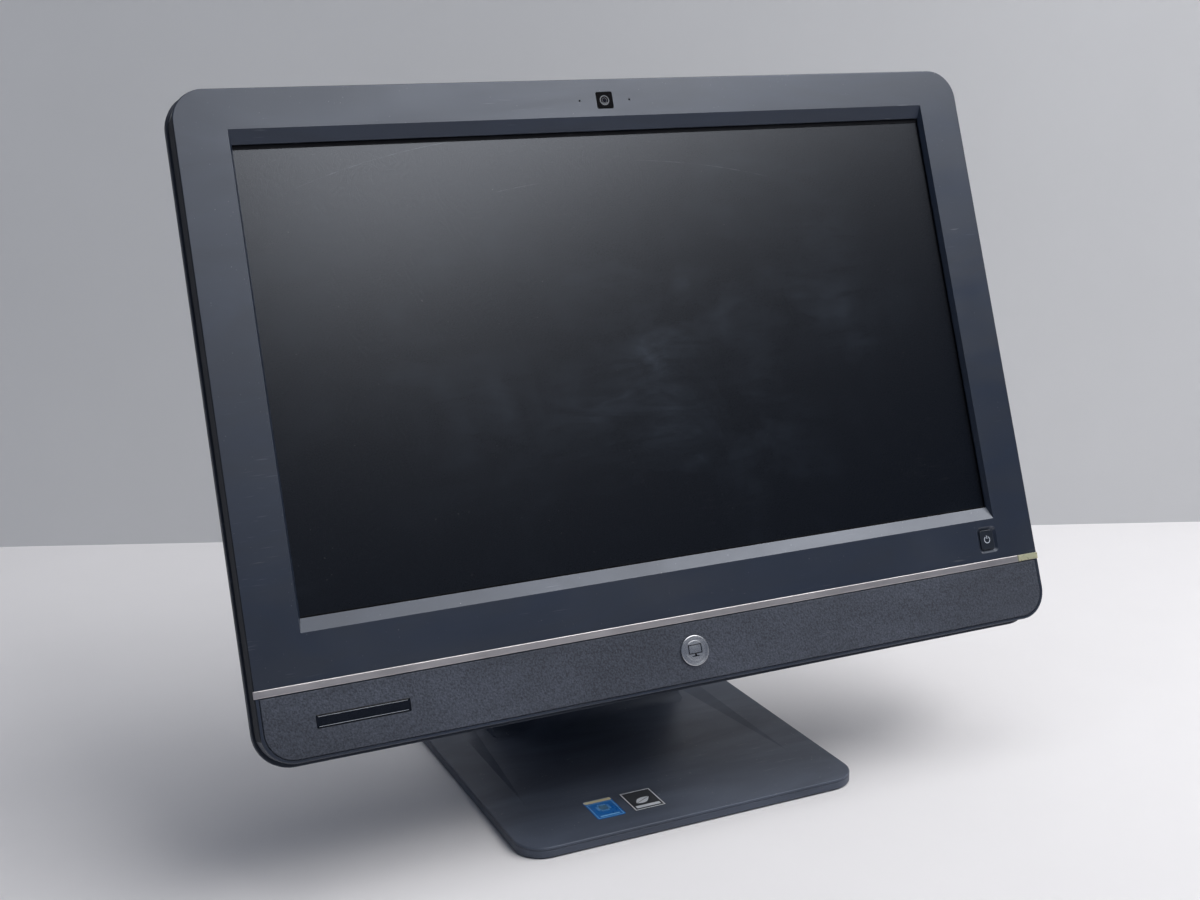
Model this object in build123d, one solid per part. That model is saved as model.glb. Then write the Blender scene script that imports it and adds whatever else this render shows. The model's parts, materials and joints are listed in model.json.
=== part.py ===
"""All-in-one desktop computer: a wide flat-panel head that tilts on a low L-shaped stand.

Two frames are used.  The row frame has +Z up, +X to the viewer's right and -Y towards the viewer, with its
origin on the desk under the middle of the foot.  The head is drawn upright in its own frame, whose origin is
the middle of the screen on the bezel's front face, with +Y into the head; on_head() leans it back and places it.
"""
from build123d import *
from math import asin, atan2, cos, hypot, radians, sin, tan
import os

# ---------------------------------------------------------------- driving dimensions, millimetres and degrees
LEAN = 19.5                     # how far the head leans back from upright as drawn
SCREEN_ACTIVE = (442.8, 249.1)  # 20 inch 16:9 panel

BEZEL_W = 499.4
BEZEL_TOP = 157.2
BEZEL_BOTTOM = -199.8
BEZEL_DEPTH = 14.0
BEZEL_FACE = 3.0                # thickness of the bezel's front plate
BEZEL_WALL = 2.2
BEZEL_EDGE_R = 0.7
CORNER_R = 18.0

RIM_SIDE, RIM_ENDS = 1.3, 2.8   # how far the rear cover's rim stands outside the bezel
RIM_CORNER_R = 20.0
RIM_FRONT = 14.8
RIM_BACK = 21.0
WALL_INSET = 1.8                # behind the rim the wall stands this far inside the bezel's outline
WALL_BACK = 32.0
HEAD_DEPTH = 62.0
SHELL = 2.5

PLATEAU_W = 400.0               # the flat of the rear cover
PLATEAU_TOP = 100.0
PLATEAU_BOTTOM = -185.0

PIVOT_Y, PIVOT_Z = 78.0, -38.0  # tilt axis in the head frame

FOOT_W, FOOT_D = 221.0, 200.0
FOOT_TOP = 6.9
FOOT_PAD = 0.8                  # thickness of the rubber pads
FOOT_LIP = 0.9                  # the cover's outer wall comes down to this height
FOOT_SPLIT = 2.2                # height where the cover meets the bottom plate
FOOT_CORNER_R = 17.5

SCREEN_Y, SCREEN_HEIGHT = -32.7, 274.9   # the head frame's origin in the row frame

HEAD_H = BEZEL_TOP - BEZEL_BOTTOM
HEAD_MID_Z = (BEZEL_TOP + BEZEL_BOTTOM) / 2
RIM_W = BEZEL_W + 2 * RIM_SIDE
RIM_H = HEAD_H + 2 * RIM_ENDS
WALL_W = BEZEL_W - 2 * WALL_INSET
WALL_H = HEAD_H - 2 * WALL_INSET

HEAD_PLACE = Pos(0, SCREEN_Y, SCREEN_HEIGHT) * Rot(-LEAN, 0, 0)


def head_point(x, y, z):
    """A point of the head frame, in the row frame."""
    a = radians(LEAN)
    return (x, SCREEN_Y + y * cos(a) + z * sin(a), SCREEN_HEIGHT - y * sin(a) + z * cos(a))


PIVOT = head_point(0, PIVOT_Y, PIVOT_Z)

nodes = {}


def on_head(name, shape):
    """Keeps a piece drawn in the head frame."""
    nodes[name] = HEAD_PLACE * shape


def on_stand(name, shape):
    """Keeps a piece drawn in the row frame."""
    nodes[name] = shape


# ---------------------------------------------------------------- drawing helpers
def block(x0, x1, y0, y1, z0, z1):
    """A box between two corners."""
    return Pos((x0 + x1) / 2, (y0 + y1) / 2, (z0 + z1) / 2) * Box(abs(x1 - x0), abs(y1 - y0), abs(z1 - z0))


def face_at(sketch, y):
    """A sketch drawn in X and Z, standing at depth y."""
    return Plane.XZ.offset(-y) * sketch


def plate(sketch, y0, y1):
    """A sketch drawn in X and Z, made solid from depth y0 to depth y1."""
    return extrude(face_at(sketch, y0), amount=y1 - y0, dir=(0, 1, 0))


def rounded(w, h, r, x=0.0, z=0.0):
    """A rounded rectangle drawn in X and Z."""
    return Pos(x, z) * RectangleRounded(w, h, r)


def span(x0, x1, z0, z1, r=None):
    """A rectangle between two corners drawn in X and Z, with its corners rounded if r is given."""
    shape = RectangleRounded(x1 - x0, z1 - z0, r) if r else Rectangle(x1 - x0, z1 - z0)
    return Pos((x0 + x1) / 2, (z0 + z1) / 2) * shape


def rod_y(r, y0, y1, x=0.0, z=0.0):
    """A round rod along Y."""
    return plate(Pos(x, z) * Circle(r), y0, y1)


def rod_x(r, x0, x1, y=0.0, z=0.0):
    """A round rod along X."""
    return Pos((x0 + x1) / 2, y, z) * Rot(0, 90, 0) * Cylinder(r, abs(x1 - x0))


def both_sides(shape):
    """A shape and its mirror image across the middle plane."""
    return shape + mirror(shape, about=Plane.YZ)


def front_edges(shape):
    return shape.edges().group_by(Axis.Y)[0]


def back_edges(shape):
    return shape.edges().group_by(Axis.Y)[-1]


# ---------------------------------------------------------------- head: front
OPENING_X, OPENING_TOP, OPENING_BOTTOM = 221.5, 134.6, -134.2
LIP_X, LIP_TOP, LIP_BOTTOM, LIP_DEPTH = 219.9, 127.0, -126.8, 3.3
LIP_BACK = 4.2

STRIP_TOP, STRIP_BOTTOM = -159.8, -163.8
STRIP_PROUD = 0.5
LIGHT_PIPE_X = 234.7

GRILLE_GAP = 0.3
GRILLE_X, GRILLE_TOP, GRILLE_BOTTOM, GRILLE_R = 247.3, -164.4, -197.9, 15.8
GRILLE_FRONT, GRILLE_BACK = -0.3, 1.6

BADGE_Z, BADGE_R = -180.7, 8.8
NAMEPLATE_X, NAMEPLATE_W, NAMEPLATE_H = -194.6, 51.0, 7.2

BUTTON_X, BUTTON_Z = 214.2, -146.9
BUTTON_W, BUTTON_H = 10.0, 12.3
BUTTON_WELL_W, BUTTON_WELL_H, BUTTON_WELL_DEPTH = 14.6, 16.4, 1.3
BUTTON_WELL_SLOPE = 1.5         # the well's sides come in by this much from its mouth to its floor
BUTTON_TRAVEL = 1.0

WEBCAM_Z, WEBCAM_W, WEBCAM_H = 144.2, 10.4, 10.0
MICROPHONE_X = 16.0
BEZEL_POSTS = [(-236, 145), (236, 145), (-236, -148), (236, -120)]


def grille_outline(grow=0.0):
    """The chin panel's outline: square at the top, round at the bottom corners."""
    w, top, bottom, r = GRILLE_X + grow, GRILLE_TOP + grow, GRILLE_BOTTOM - grow, GRILLE_R + grow
    whole = span(-w, w, bottom, top + 2 * r, r)
    return whole & span(-w, w, bottom, top)


def screen_opening():
    """What the bezel leaves open over the screen: a sloping mitred surround and a short straight lip."""
    run = 0.1                  # the slope is carried on a little in front, so that it cuts clean through
    slope_x = (OPENING_X - LIP_X) / LIP_DEPTH
    slope_top = (OPENING_TOP - LIP_TOP) / LIP_DEPTH
    slope_bottom = (OPENING_BOTTOM - LIP_BOTTOM) / LIP_DEPTH
    front = span(-OPENING_X - slope_x * run, OPENING_X + slope_x * run,
                 OPENING_BOTTOM + slope_bottom * run, OPENING_TOP + slope_top * run)
    lip = span(-LIP_X, LIP_X, LIP_BOTTOM, LIP_TOP)
    funnel = loft([face_at(front, -run), face_at(lip, LIP_DEPTH)], ruled=True)
    return funnel + plate(lip, LIP_DEPTH, LIP_BACK + 1)


def button_well():
    """The hollow round the power button, with sloping sides, and the hole that the button works in."""
    mouth = rounded(BUTTON_WELL_W, BUTTON_WELL_H, 3.0, BUTTON_X, BUTTON_Z)
    floor = rounded(BUTTON_WELL_W - 2 * BUTTON_WELL_SLOPE, BUTTON_WELL_H - 2 * BUTTON_WELL_SLOPE, 2.4,
                    BUTTON_X, BUTTON_Z)
    well = loft([face_at(mouth, 0), face_at(floor, BUTTON_WELL_DEPTH)], ruled=True)
    hole = plate(rounded(BUTTON_W + 0.6, BUTTON_H + 0.6, 2.1, BUTTON_X, BUTTON_Z), 0, BEZEL_FACE + 1)
    return well + hole + plate(mouth, -1, 0)


def front_bezel():
    body = plate(rounded(BEZEL_W, HEAD_H, CORNER_R, 0, HEAD_MID_Z), 0, BEZEL_DEPTH)
    body = fillet(front_edges(body), BEZEL_EDGE_R)
    body -= plate(rounded(BEZEL_W - 2 * BEZEL_WALL, HEAD_H - 2 * BEZEL_WALL, CORNER_R - BEZEL_WALL, 0, HEAD_MID_Z),
                  BEZEL_FACE, BEZEL_DEPTH + 1)
    body += plate(span(-226, 226, -139, 139), BEZEL_FACE, LIP_BACK)
    body -= screen_opening()
    body -= plate(grille_outline(GRILLE_GAP), -1, GRILLE_BACK + 0.1)
    body -= block(-BEZEL_W, BEZEL_W, -1, 1.0, STRIP_BOTTOM - 0.05, STRIP_TOP + 0.05)
    for side in (-1, 1):
        body -= plate(rounded(86, 12, 3, side * 145, BADGE_Z), 0, BEZEL_FACE + 1)
    body -= button_well()
    body -= plate(rounded(WEBCAM_W + 0.3, WEBCAM_H + 0.3, 1.1, 0, WEBCAM_Z), -1, 1.2)
    body -= rod_y(3.6, 0, BEZEL_FACE + 1, 0, WEBCAM_Z)
    for side in (-1, 1):
        body -= rod_y(0.6, -1, BEZEL_FACE + 1, side * MICROPHONE_X, WEBCAM_Z)
    for x, z in BEZEL_POSTS:
        body += rod_y(3.6, BEZEL_FACE, 13.0, x, z) - rod_y(1.3, 6.0, 14.0, x, z)
    return body


def trim_strip():
    strip = block(-BEZEL_W / 2 - 0.2, LIGHT_PIPE_X - 0.1, -STRIP_PROUD, 0.95, STRIP_BOTTOM, STRIP_TOP)
    strip = fillet(front_edges(strip), 0.4)
    seam_x = -BEZEL_W / 2 + 1.9
    return strip - block(seam_x - 0.12, seam_x + 0.12, -1, -STRIP_PROUD + 0.25, STRIP_BOTTOM - 1, STRIP_TOP + 1)


def activity_light_pipe():
    lens = block(LIGHT_PIPE_X + 0.1, BEZEL_W / 2 + 0.2, -STRIP_PROUD, 0.95, STRIP_BOTTOM, STRIP_TOP)
    return fillet(front_edges(lens), 0.4)


def speaker_grille():
    panel = plate(grille_outline(), GRILLE_FRONT, GRILLE_BACK)
    panel = fillet(front_edges(panel), 0.6)
    panel -= plate(rounded(NAMEPLATE_W, NAMEPLATE_H, 0.8, NAMEPLATE_X, BADGE_Z), GRILLE_FRONT - 1, 0.7)
    panel -= rod_y(2.0, -1, 3, 0, BADGE_Z)
    return panel


def round_badge():
    """A plain domed disc with a raised rim, on a peg."""
    front = GRILLE_FRONT - 1.2
    disc = rod_y(BADGE_R, front, GRILLE_FRONT, 0, BADGE_Z)
    disc = fillet(front_edges(disc), 0.5)
    disc -= rod_y(BADGE_R - 1.2, front - 1, front + 0.25, 0, BADGE_Z)
    disc += fillet(front_edges(rod_y(BADGE_R - 3.0, front - 0.05, front + 0.5, 0, BADGE_Z)), 0.3)
    return disc + rod_y(1.9, GRILLE_FRONT - 0.5, 1.4, 0, BADGE_Z)


def nameplate():
    panel = plate(rounded(NAMEPLATE_W - 0.4, NAMEPLATE_H - 0.4, 0.6, NAMEPLATE_X, BADGE_Z), 0.1, 0.7)
    return fillet(front_edges(panel), 0.2)


def webcam_window():
    panel = plate(rounded(WEBCAM_W, WEBCAM_H, 1.0, 0, WEBCAM_Z), 0.15, 1.2)
    return fillet(front_edges(panel), 0.2)


def webcam_module():
    """Lens barrel on a long narrow board that carries the two microphones too."""
    barrel = rod_y(3.4, 1.3, 6.5, 0, WEBCAM_Z) - rod_y(2.2, 1.0, 2.2, 0, WEBCAM_Z)
    lens = rod_y(2.2, 1.8, 2.3, 0, WEBCAM_Z)
    board = block(-34, 34, 6.5, 7.5, WEBCAM_Z - 4, WEBCAM_Z + 4)
    microphones = both_sides(block(MICROPHONE_X - 2, MICROPHONE_X + 2, 5.3, 6.5, WEBCAM_Z - 1.5, WEBCAM_Z + 1.5))
    return barrel + lens + board + microphones


def microphone_boots():
    boot = rod_y(2.4, BEZEL_FACE, 5.2, MICROPHONE_X, WEBCAM_Z) - rod_y(0.6, 2, 6, MICROPHONE_X, WEBCAM_Z)
    return both_sides(boot)


def power_button():
    """Cap, its skirt and the stem that reaches back to the switch."""
    cap = plate(rounded(BUTTON_W, BUTTON_H, 1.9, BUTTON_X, BUTTON_Z), 0.35, 3.0)
    cap = fillet(front_edges(cap), 0.5)
    cap += plate(rounded(BUTTON_W + 2.6, BUTTON_H + 2.6, 2.4, BUTTON_X, BUTTON_Z), 3.15, 4.2)
    cap += plate(rounded(BUTTON_W - 2, BUTTON_H - 2, 1.2, BUTTON_X, BUTTON_Z), 3.0, 3.2)
    cap += rod_y(1.6, 4.0, 6.1, BUTTON_X, BUTTON_Z)
    ring = rod_y(2.3, 0, 0.6, BUTTON_X, BUTTON_Z) - rod_y(1.7, -1, 0.65, BUTTON_X, BUTTON_Z)
    return cap - ring


def power_switch_board():
    board = block(BUTTON_X - 13, BUTTON_X + 13, 10.6, 11.8, BUTTON_Z - 8, BUTTON_Z + 8)
    switch = block(BUTTON_X - 3, BUTTON_X + 3, 8.2, 10.6, BUTTON_Z - 3, BUTTON_Z + 3)
    plunger = rod_y(1.7, 7.3, 8.2, BUTTON_X, BUTTON_Z)
    return board + switch + plunger


# ---------------------------------------------------------------- head: screen
GLASS_Y = 5.0
FRAME_X, FRAME_Z = 231.0, 134.0
FRAME_FRONT = 4.4
SCREEN_BACK = 13.0


def lcd_glass():
    w, h = SCREEN_ACTIVE[0] + 4, SCREEN_ACTIVE[1] + 4
    return plate(rounded(w, h, 0.5), GLASS_Y, GLASS_Y + 2.1)


def lcd_frame():
    """Pressed black steel frame that clamps the glass to the backlight."""
    body = plate(rounded(2 * FRAME_X, 2 * FRAME_Z, 1.5), FRAME_FRONT, SCREEN_BACK)
    body -= plate(rounded(2 * FRAME_X - 1.2, 2 * FRAME_Z - 1.2, 0.9), FRAME_FRONT + 0.5, SCREEN_BACK + 1)
    return body - plate(span(-222.2, 222.2, -125.8, 124.7), 0, 8)


def backlight_unit():
    tray = plate(rounded(2 * FRAME_X - 1.6, 2 * FRAME_Z - 1.6, 0.7), GLASS_Y + 2.2, SCREEN_BACK - 0.1)
    rib = block(-150, 150, SCREEN_BACK - 1.1, SCREEN_BACK + 1, -3, 3)
    return tray - rib


# ---------------------------------------------------------------- head: middle frame and chassis
CHASSIS_Y, CHASSIS_T = 31.0, 1.0
VESA = 100.0
VESA_SPOTS = [(x * VESA / 2, PIVOT_Z + z * VESA / 2) for x in (-1, 1) for z in (-1, 1)]
CHASSIS_POSTS = [(-205, 125), (0, 125), (90, 125), (-205, -150), (-60, -150), (60, -150), (205, -140)]
COVER_SCREWS = [(-178, 84), (178, 84), (-178, -166), (178, -166)]


def mid_frame():
    """Frame between bezel and rear cover: its edge shows as the dark groove, and its posts carry the chassis."""
    outline = rounded(BEZEL_W - 4.6, HEAD_H - 4.6, CORNER_R - 2.3, 0, HEAD_MID_Z)
    flange = rounded(BEZEL_W - 2.4, HEAD_H - 2.4, CORNER_R - 1.2, 0, HEAD_MID_Z)
    frame = plate(outline, 13.2, 14.7) + plate(flange, BEZEL_DEPTH + 0.05, 14.7)
    frame -= plate(rounded(400, 200, 12), 12, 16)
    frame -= plate(rounded(388, 28.4, 4, 0, -180.5), 12, 16)
    for x, z in CHASSIS_POSTS:
        frame += rod_y(4.0, 14.6, CHASSIS_Y, x, z)
    return frame


def chassis_plate():
    """Stamped steel tray for the boards, with the four standoffs that take the stand's bracket."""
    tray = plate(rounded(440, 300, 14, 0, -5), CHASSIS_Y, CHASSIS_Y + CHASSIS_T)
    tray -= plate(rounded(60, 40, 6, 165, 110), 30, 33) + plate(rounded(90, 26, 6, -120, 110), 30, 33)
    for x, z in VESA_SPOTS:
        standoff = rod_y(4.0, CHASSIS_Y + CHASSIS_T, HEAD_DEPTH - SHELL - 0.1, x, z)
        tray += standoff - rod_y(1.9, 44, 62, x, z)
    for x, z in BOARD_SPOTS:
        tray += rod_y(2.6, CHASSIS_Y + CHASSIS_T, BOARD_Y, x, z)
    return tray


# ---------------------------------------------------------------- head: electronics
BOARD_Y, BOARD_T = 38.0, 1.6
BOARD = (-72.0, 142.0, -178.0, 0.0)
BOARD_SPOTS = [(-66, -8), (136, -8), (-66, -140), (136, -140), (20, -70)]
CPU_X, CPU_Z = 22.0, -36.0
BLOWER_X, BLOWER_Z, BLOWER_HALF = 100.0, 48.0, 37.0
BLOWER_Y0, BLOWER_Y1 = 36.0, 54.0
BLADES = 23
PIPE_X, PIPE_Y = 22.0, 47.5
FINS_Z0, FINS_Z1 = 86.0, 98.0
DRIVE = (-186.0, -84.4, -104.0, 43.0)


def motherboard():
    x0, x1, z0, z1 = BOARD
    top = BOARD_Y + BOARD_T
    board = plate(span(x0, x1, z0, z1, 3), BOARD_Y, top)
    for x, z in VESA_SPOTS:
        board -= rod_y(5.2, BOARD_Y - 1, top + 1, x, z)
    chips = [(-40, -12, 20, 20, 2.0), (62, -20, 14, 12, 1.5), (-52, -64, 12, 12, 1.2), (96, -12, 24, 7, 3.5),
             (-20, -118, 16, 16, 1.6), (40, -122, 10, 10, 1.2), (112, -120, 20, 9, 4.0)]
    for x, z, w, h, t in chips:
        board += block(x - w / 2, x + w / 2, top, top + t, z - h / 2, z + h / 2)
    for n in range(8):
        board += rod_y(2.6, top, top + 6.5, -50 + 9 * n, -142)
    return board


def cpu_heatsink():
    """Cold plate on the processor, and the fin stack that stands in the blower's outlet."""
    top = BOARD_Y + BOARD_T
    cold_plate = block(CPU_X - 25, CPU_X + 25, top + 1.8, top + 4.8, CPU_Z - 22, CPU_Z + 22)
    saddle = block(PIPE_X - 8, PIPE_X + 8, top + 4.8, PIPE_Y + 1.5, CPU_Z - 20, CPU_Z + 20)
    saddle -= Pos(PIPE_X, PIPE_Y, CPU_Z) * Cylinder(3.05, 60)
    sink = cold_plate + saddle
    for n in range(22):
        x = BLOWER_X - 33 + 3.1 * n
        sink += block(x, x + 0.5, BLOWER_Y0 + 2, BLOWER_Y1, FINS_Z0 + 0.5, FINS_Z1)
    sink += block(BLOWER_X - 33, BLOWER_X + 33, BLOWER_Y0 + 2, BLOWER_Y0 + 2.6, FINS_Z0 + 0.5, FINS_Z1)
    return sink - rod_x(3.05, PIPE_X, BLOWER_X + 60, PIPE_Y, (FINS_Z0 + FINS_Z1) / 2)


def heat_pipe():
    z_fins = (FINS_Z0 + FINS_Z1) / 2
    line = FilletPolyline((PIPE_X, PIPE_Y, CPU_Z - 20), (PIPE_X, PIPE_Y, z_fins), (BLOWER_X + 36, PIPE_Y, z_fins),
                          radius=14)
    return sweep(Plane(origin=line @ 0, z_dir=line % 0) * Circle(3.0), path=line)


def blower_housing():
    x, z, h = BLOWER_X, BLOWER_Z, BLOWER_HALF
    body = plate(rounded(2 * h, 2 * h, 8, x, z), BLOWER_Y0, BLOWER_Y1)
    cavity = rod_y(33.0, BLOWER_Y0 + 1.5, BLOWER_Y1 - 1.5, x, z)
    outlet = block(x + 2, x + 33, BLOWER_Y0 + 1.5, BLOWER_Y1 - 1.5, z, z + h + 1)
    intake = rod_y(22.0, BLOWER_Y1 - 3, BLOWER_Y1 + 1, x, z)
    axle = rod_y(1.5, BLOWER_Y0 + 1, BLOWER_Y1 - 5, x, z)
    return body - cavity - outlet - intake + axle


def blower_impeller():
    hub = rod_y(13.0, BLOWER_Y0 + 2.5, BLOWER_Y1 - 3.5, BLOWER_X, BLOWER_Z)
    middle = Pos(BLOWER_X, (BLOWER_Y0 + BLOWER_Y1) / 2, BLOWER_Z)
    blade = middle * Pos(21.0, 0, 0) * Rot(0, 35, 0) * Box(17.0, BLOWER_Y1 - BLOWER_Y0 - 6.5, 0.9)
    wheel = hub
    about = Axis((BLOWER_X, 0, BLOWER_Z), (0, 1, 0))
    for n in range(BLADES):
        wheel += blade.rotate(about, 360 / BLADES * n)
    ring = rod_y(29.5, BLOWER_Y0 + 3.3, BLOWER_Y0 + 4.6, BLOWER_X, BLOWER_Z)
    ring -= rod_y(12.0, BLOWER_Y0, BLOWER_Y1, BLOWER_X, BLOWER_Z)
    return wheel + ring - rod_y(1.55, BLOWER_Y0, BLOWER_Y1 - 4.8, BLOWER_X, BLOWER_Z)


def memory_modules():
    """Two laptop-size modules side by side in their sockets, under the service door."""
    top = BOARD_Y + BOARD_T
    made = Part()
    for z in (-92, -56):
        card = block(70, 137.6, top + 2.2, top + 3.2, z, z + 30)
        socket = block(70, 137.6, top, top + 4.2, z - 5, z)
        for n in range(4):
            card += block(74 + 16 * n, 85 + 16 * n, top + 3.2, top + 4.3, z + 8, z + 20)
        made += card + socket
    return made


def wireless_card():
    top = BOARD_Y + BOARD_T
    card = block(-64, -34, top + 2.4, top + 3.2, -50, -24)
    can = block(-61, -37, top + 3.2, top + 4.6, -47, -29)
    return card + can + block(-64, -34, top, top + 3.8, -55, -50)


def hard_drive():
    x0, x1, z0, z1 = DRIVE
    case = block(x0, x1, 33.2, 58.6, z0, z1)
    case = chamfer(back_edges(case), 1.2)
    lid = plate(rounded(x1 - x0 - 8, z1 - z0 - 10, 8, (x0 + x1) / 2, (z0 + z1) / 2), 58.6, 59.1)
    return case + lid


def hard_drive_cage():
    """Folded steel cradle either side of the drive, standing on the chassis."""
    x0, x1, z0, z1 = DRIVE
    y0 = CHASSIS_Y + CHASSIS_T
    cage = block(x0 - 1.3, x1 + 1.3, y0, y0 + 1.1, z0 + 8, z1 - 8)
    for x, out in ((x0 - 1.3, -1), (x1 + 0.1, 1)):
        cage += block(x, x + 1.2, y0, 52, z0 + 8, z1 - 8)
        flap = x if out < 0 else x + 1.2
        cage += block(flap, flap + out * 7, y0, y0 + 1.1, z0 + 20, z1 - 20)
    return cage


def speaker(side):
    """Sealed speaker box behind the chin panel, with its round driver facing forward."""
    x = side * 145
    box = plate(rounded(92, 27, 3, x, -180.5), 4.6, 27.0)
    box -= rod_y(10.0, 4, 7.5, x, -180.5)
    flange = plate(rounded(88, 16, 2, x, BADGE_Z), 3.1, 4.6)
    cone = rod_y(6.0, 5.2, 8.0, x, -180.5)
    return box + flange + cone - rod_y(10.0, 3, 5.2, x, -180.5)


# ---------------------------------------------------------------- head: ports
IO_X0, IO_X1, IO_Z0, IO_Z1 = -72.0, 142.0, -176.0, -152.0
IO_Y = 50.0
IO_MID = (IO_Z0 + IO_Z1) / 2
PORT_BACK = IO_Y + 2.2
INLET_X, NETWORK_X, VIDEO_X, ANALOG_X = -60.0, 84.0, -34.0, -2.0
USB_X = (26.0, 45.0, 64.0)
USB_SHIFT = 4.6
REAR_AUDIO_X = (108.0, 124.0)


def socket(x, w, h, z=IO_MID):
    """A rectangular metal socket shell that faces the rear."""
    wall, depth = 0.5, 9.0
    shell = plate(rounded(w, h, 0.6, x, z), BOARD_Y + BOARD_T + 0.1, PORT_BACK)
    return shell - plate(rounded(w - 2 * wall, h - 2 * wall, 0.2, x, z), PORT_BACK - depth, PORT_BACK + 1)


def usb_ports():
    made = Part()
    for x in USB_X:
        for z in (IO_MID - USB_SHIFT, IO_MID + USB_SHIFT):
            made += socket(x, 14.0, 6.4, z)
            made += block(x - 5.6, x + 5.6, PORT_BACK - 9.2, PORT_BACK - 0.8, z + 0.2, z + 2.0)
    return made


def network_jack():
    """Eight-way jack: a clear square mouth, with the latch notch at its foot."""
    jack = block(NETWORK_X - 8, NETWORK_X + 8, BOARD_Y + BOARD_T + 0.1, PORT_BACK, IO_MID - 7, IO_MID + 7)
    jack -= block(NETWORK_X - 6, NETWORK_X + 6, PORT_BACK - 10, PORT_BACK + 1, IO_MID - 3.5, IO_MID + 4.5)
    return jack - block(NETWORK_X - 3, NETWORK_X + 3, PORT_BACK - 10, PORT_BACK + 1, IO_MID - 5.5, IO_MID - 3.4)


def video_ports():
    """A digital display socket and a 15-way analogue one."""
    digital = socket(VIDEO_X, 17.0, 6.6)
    digital += block(VIDEO_X - 6.5, VIDEO_X + 6.5, PORT_BACK - 9.2, PORT_BACK - 1, IO_MID - 0.2, IO_MID + 1.0)
    analog = plate(rounded(31, 12.4, 2, ANALOG_X, IO_MID), BOARD_Y + BOARD_T + 0.1, IO_Y - 0.1)
    neck = plate(rounded(16.6, 8.2, 2.4, ANALOG_X, IO_MID), IO_Y - 0.2, PORT_BACK + 3.0)
    analog += neck
    for row in (-2, 0, 2):
        for n in range(5):
            analog -= rod_y(0.5, PORT_BACK, PORT_BACK + 4, ANALOG_X - 4.6 + 2.3 * n, IO_MID + row)
    for side in (-1, 1):
        analog += rod_y(2.6, IO_Y - 0.2, PORT_BACK + 2.0, ANALOG_X + side * 12.5, IO_MID)
    return digital + analog


def rear_audio_jacks():
    made = Part()
    for x in REAR_AUDIO_X:
        body = block(x - 5, x + 5, BOARD_Y + BOARD_T + 0.1, IO_Y - 0.1, IO_MID - 5.5, IO_MID + 5.5)
        body += rod_y(4.0, IO_Y - 0.2, PORT_BACK, x, IO_MID)
        made += body - rod_y(1.8, PORT_BACK - 9, PORT_BACK + 1, x, IO_MID)
    return made


def power_inlet():
    """Round low-voltage inlet with a centre pin, for the lead of an external adapter."""
    body = block(INLET_X - 7, INLET_X + 7, BOARD_Y + BOARD_T + 0.1, IO_Y - 0.1, IO_MID - 7, IO_MID + 7)
    body += rod_y(5.6, IO_Y - 0.2, PORT_BACK, INLET_X, IO_MID)
    body -= rod_y(3.8, PORT_BACK - 9, PORT_BACK + 1, INLET_X, IO_MID)
    return body + rod_y(0.6, PORT_BACK - 9.5, PORT_BACK - 1.2, INLET_X, IO_MID)


def rear_io_bracket():
    """Steel plate behind the rear cover's window, punched for each socket."""
    bracket = plate(span(IO_X0 - 3, IO_X1 + 3, IO_Z0 - 3, IO_Z1 + 3, 1.5), IO_Y, IO_Y + 1.0)
    outlines = [rounded(12.2, 12.2, 6.05, INLET_X, IO_MID), rounded(17.6, 7.2, 0.9, VIDEO_X, IO_MID),
                rounded(31.6, 13, 2.2, ANALOG_X, IO_MID), rounded(16.6, 14.6, 0.5, NETWORK_X, IO_MID)]
    outlines += [rounded(14.6, 7.0, 0.9, x, IO_MID + z) for x in USB_X for z in (-USB_SHIFT, USB_SHIFT)]
    outlines += [Pos(x, IO_MID) * Circle(4.3) for x in REAR_AUDIO_X]
    for outline in outlines:
        bracket -= plate(outline, IO_Y - 1, IO_Y + 2)
    return bracket


# ---------------------------------------------------------------- head: optical drive in the right-hand side
DISC_X0, DISC_Z0, DISC_Y0, DISC_T = 120.5, -22.0, 17.2, 12.7
DISC_LONG, DISC_WIDE = 126.0, 128.0
DISC_X1 = DISC_X0 + DISC_LONG
DISC_Z1 = DISC_Z0 + DISC_WIDE
DISC_Y1 = DISC_Y0 + DISC_T
DISC_MID_Z = (DISC_Z0 + DISC_Z1) / 2
TRAY_FACE_X = RIM_W / 2 - 0.3
TRAY_TRAVEL = 118.0
SPINDLE_X = TRAY_FACE_X - 2.2 - 63.5
EJECT_Z = DISC_Z0 + 30.0
EJECT_TRAVEL = 0.6


def optical_drive_case():
    """Folded sheet-metal sleeve, open at the tray's end."""
    case = block(DISC_X0, DISC_X1, DISC_Y0, DISC_Y1, DISC_Z0, DISC_Z1)
    case -= block(DISC_X0 + 0.8, DISC_X1 + 1, DISC_Y0 + 0.7, DISC_Y1 - 0.7, DISC_Z0 + 0.7, DISC_Z1 - 0.7)
    plug = block(DISC_X0 - 3, DISC_X0, DISC_Y0 + 4, DISC_Y1 - 3, DISC_Z0 + 20, DISC_Z0 + 60)
    return case + plug


def disc_tray():
    x0, x1 = DISC_X0 + 2.0, TRAY_FACE_X - 2.2
    y0, y1 = DISC_Y0 + 2.6, DISC_Y1 - 1.4
    tray = block(x0, x1, y0, y1, DISC_Z0 + 1.4, DISC_Z1 - 1.4)
    tray -= rod_y(60.5, y0 - 1, y0 + 1.8, SPINDLE_X, DISC_MID_Z)
    tray -= rod_y(22.0, y0 - 1, y0 + 2.6, SPINDLE_X, DISC_MID_Z)
    sled = plate(rounded(42, 24, 4, SPINDLE_X - 30, DISC_MID_Z - 16), y0 - 1, y0 + 3.2)
    return tray - sled


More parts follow.
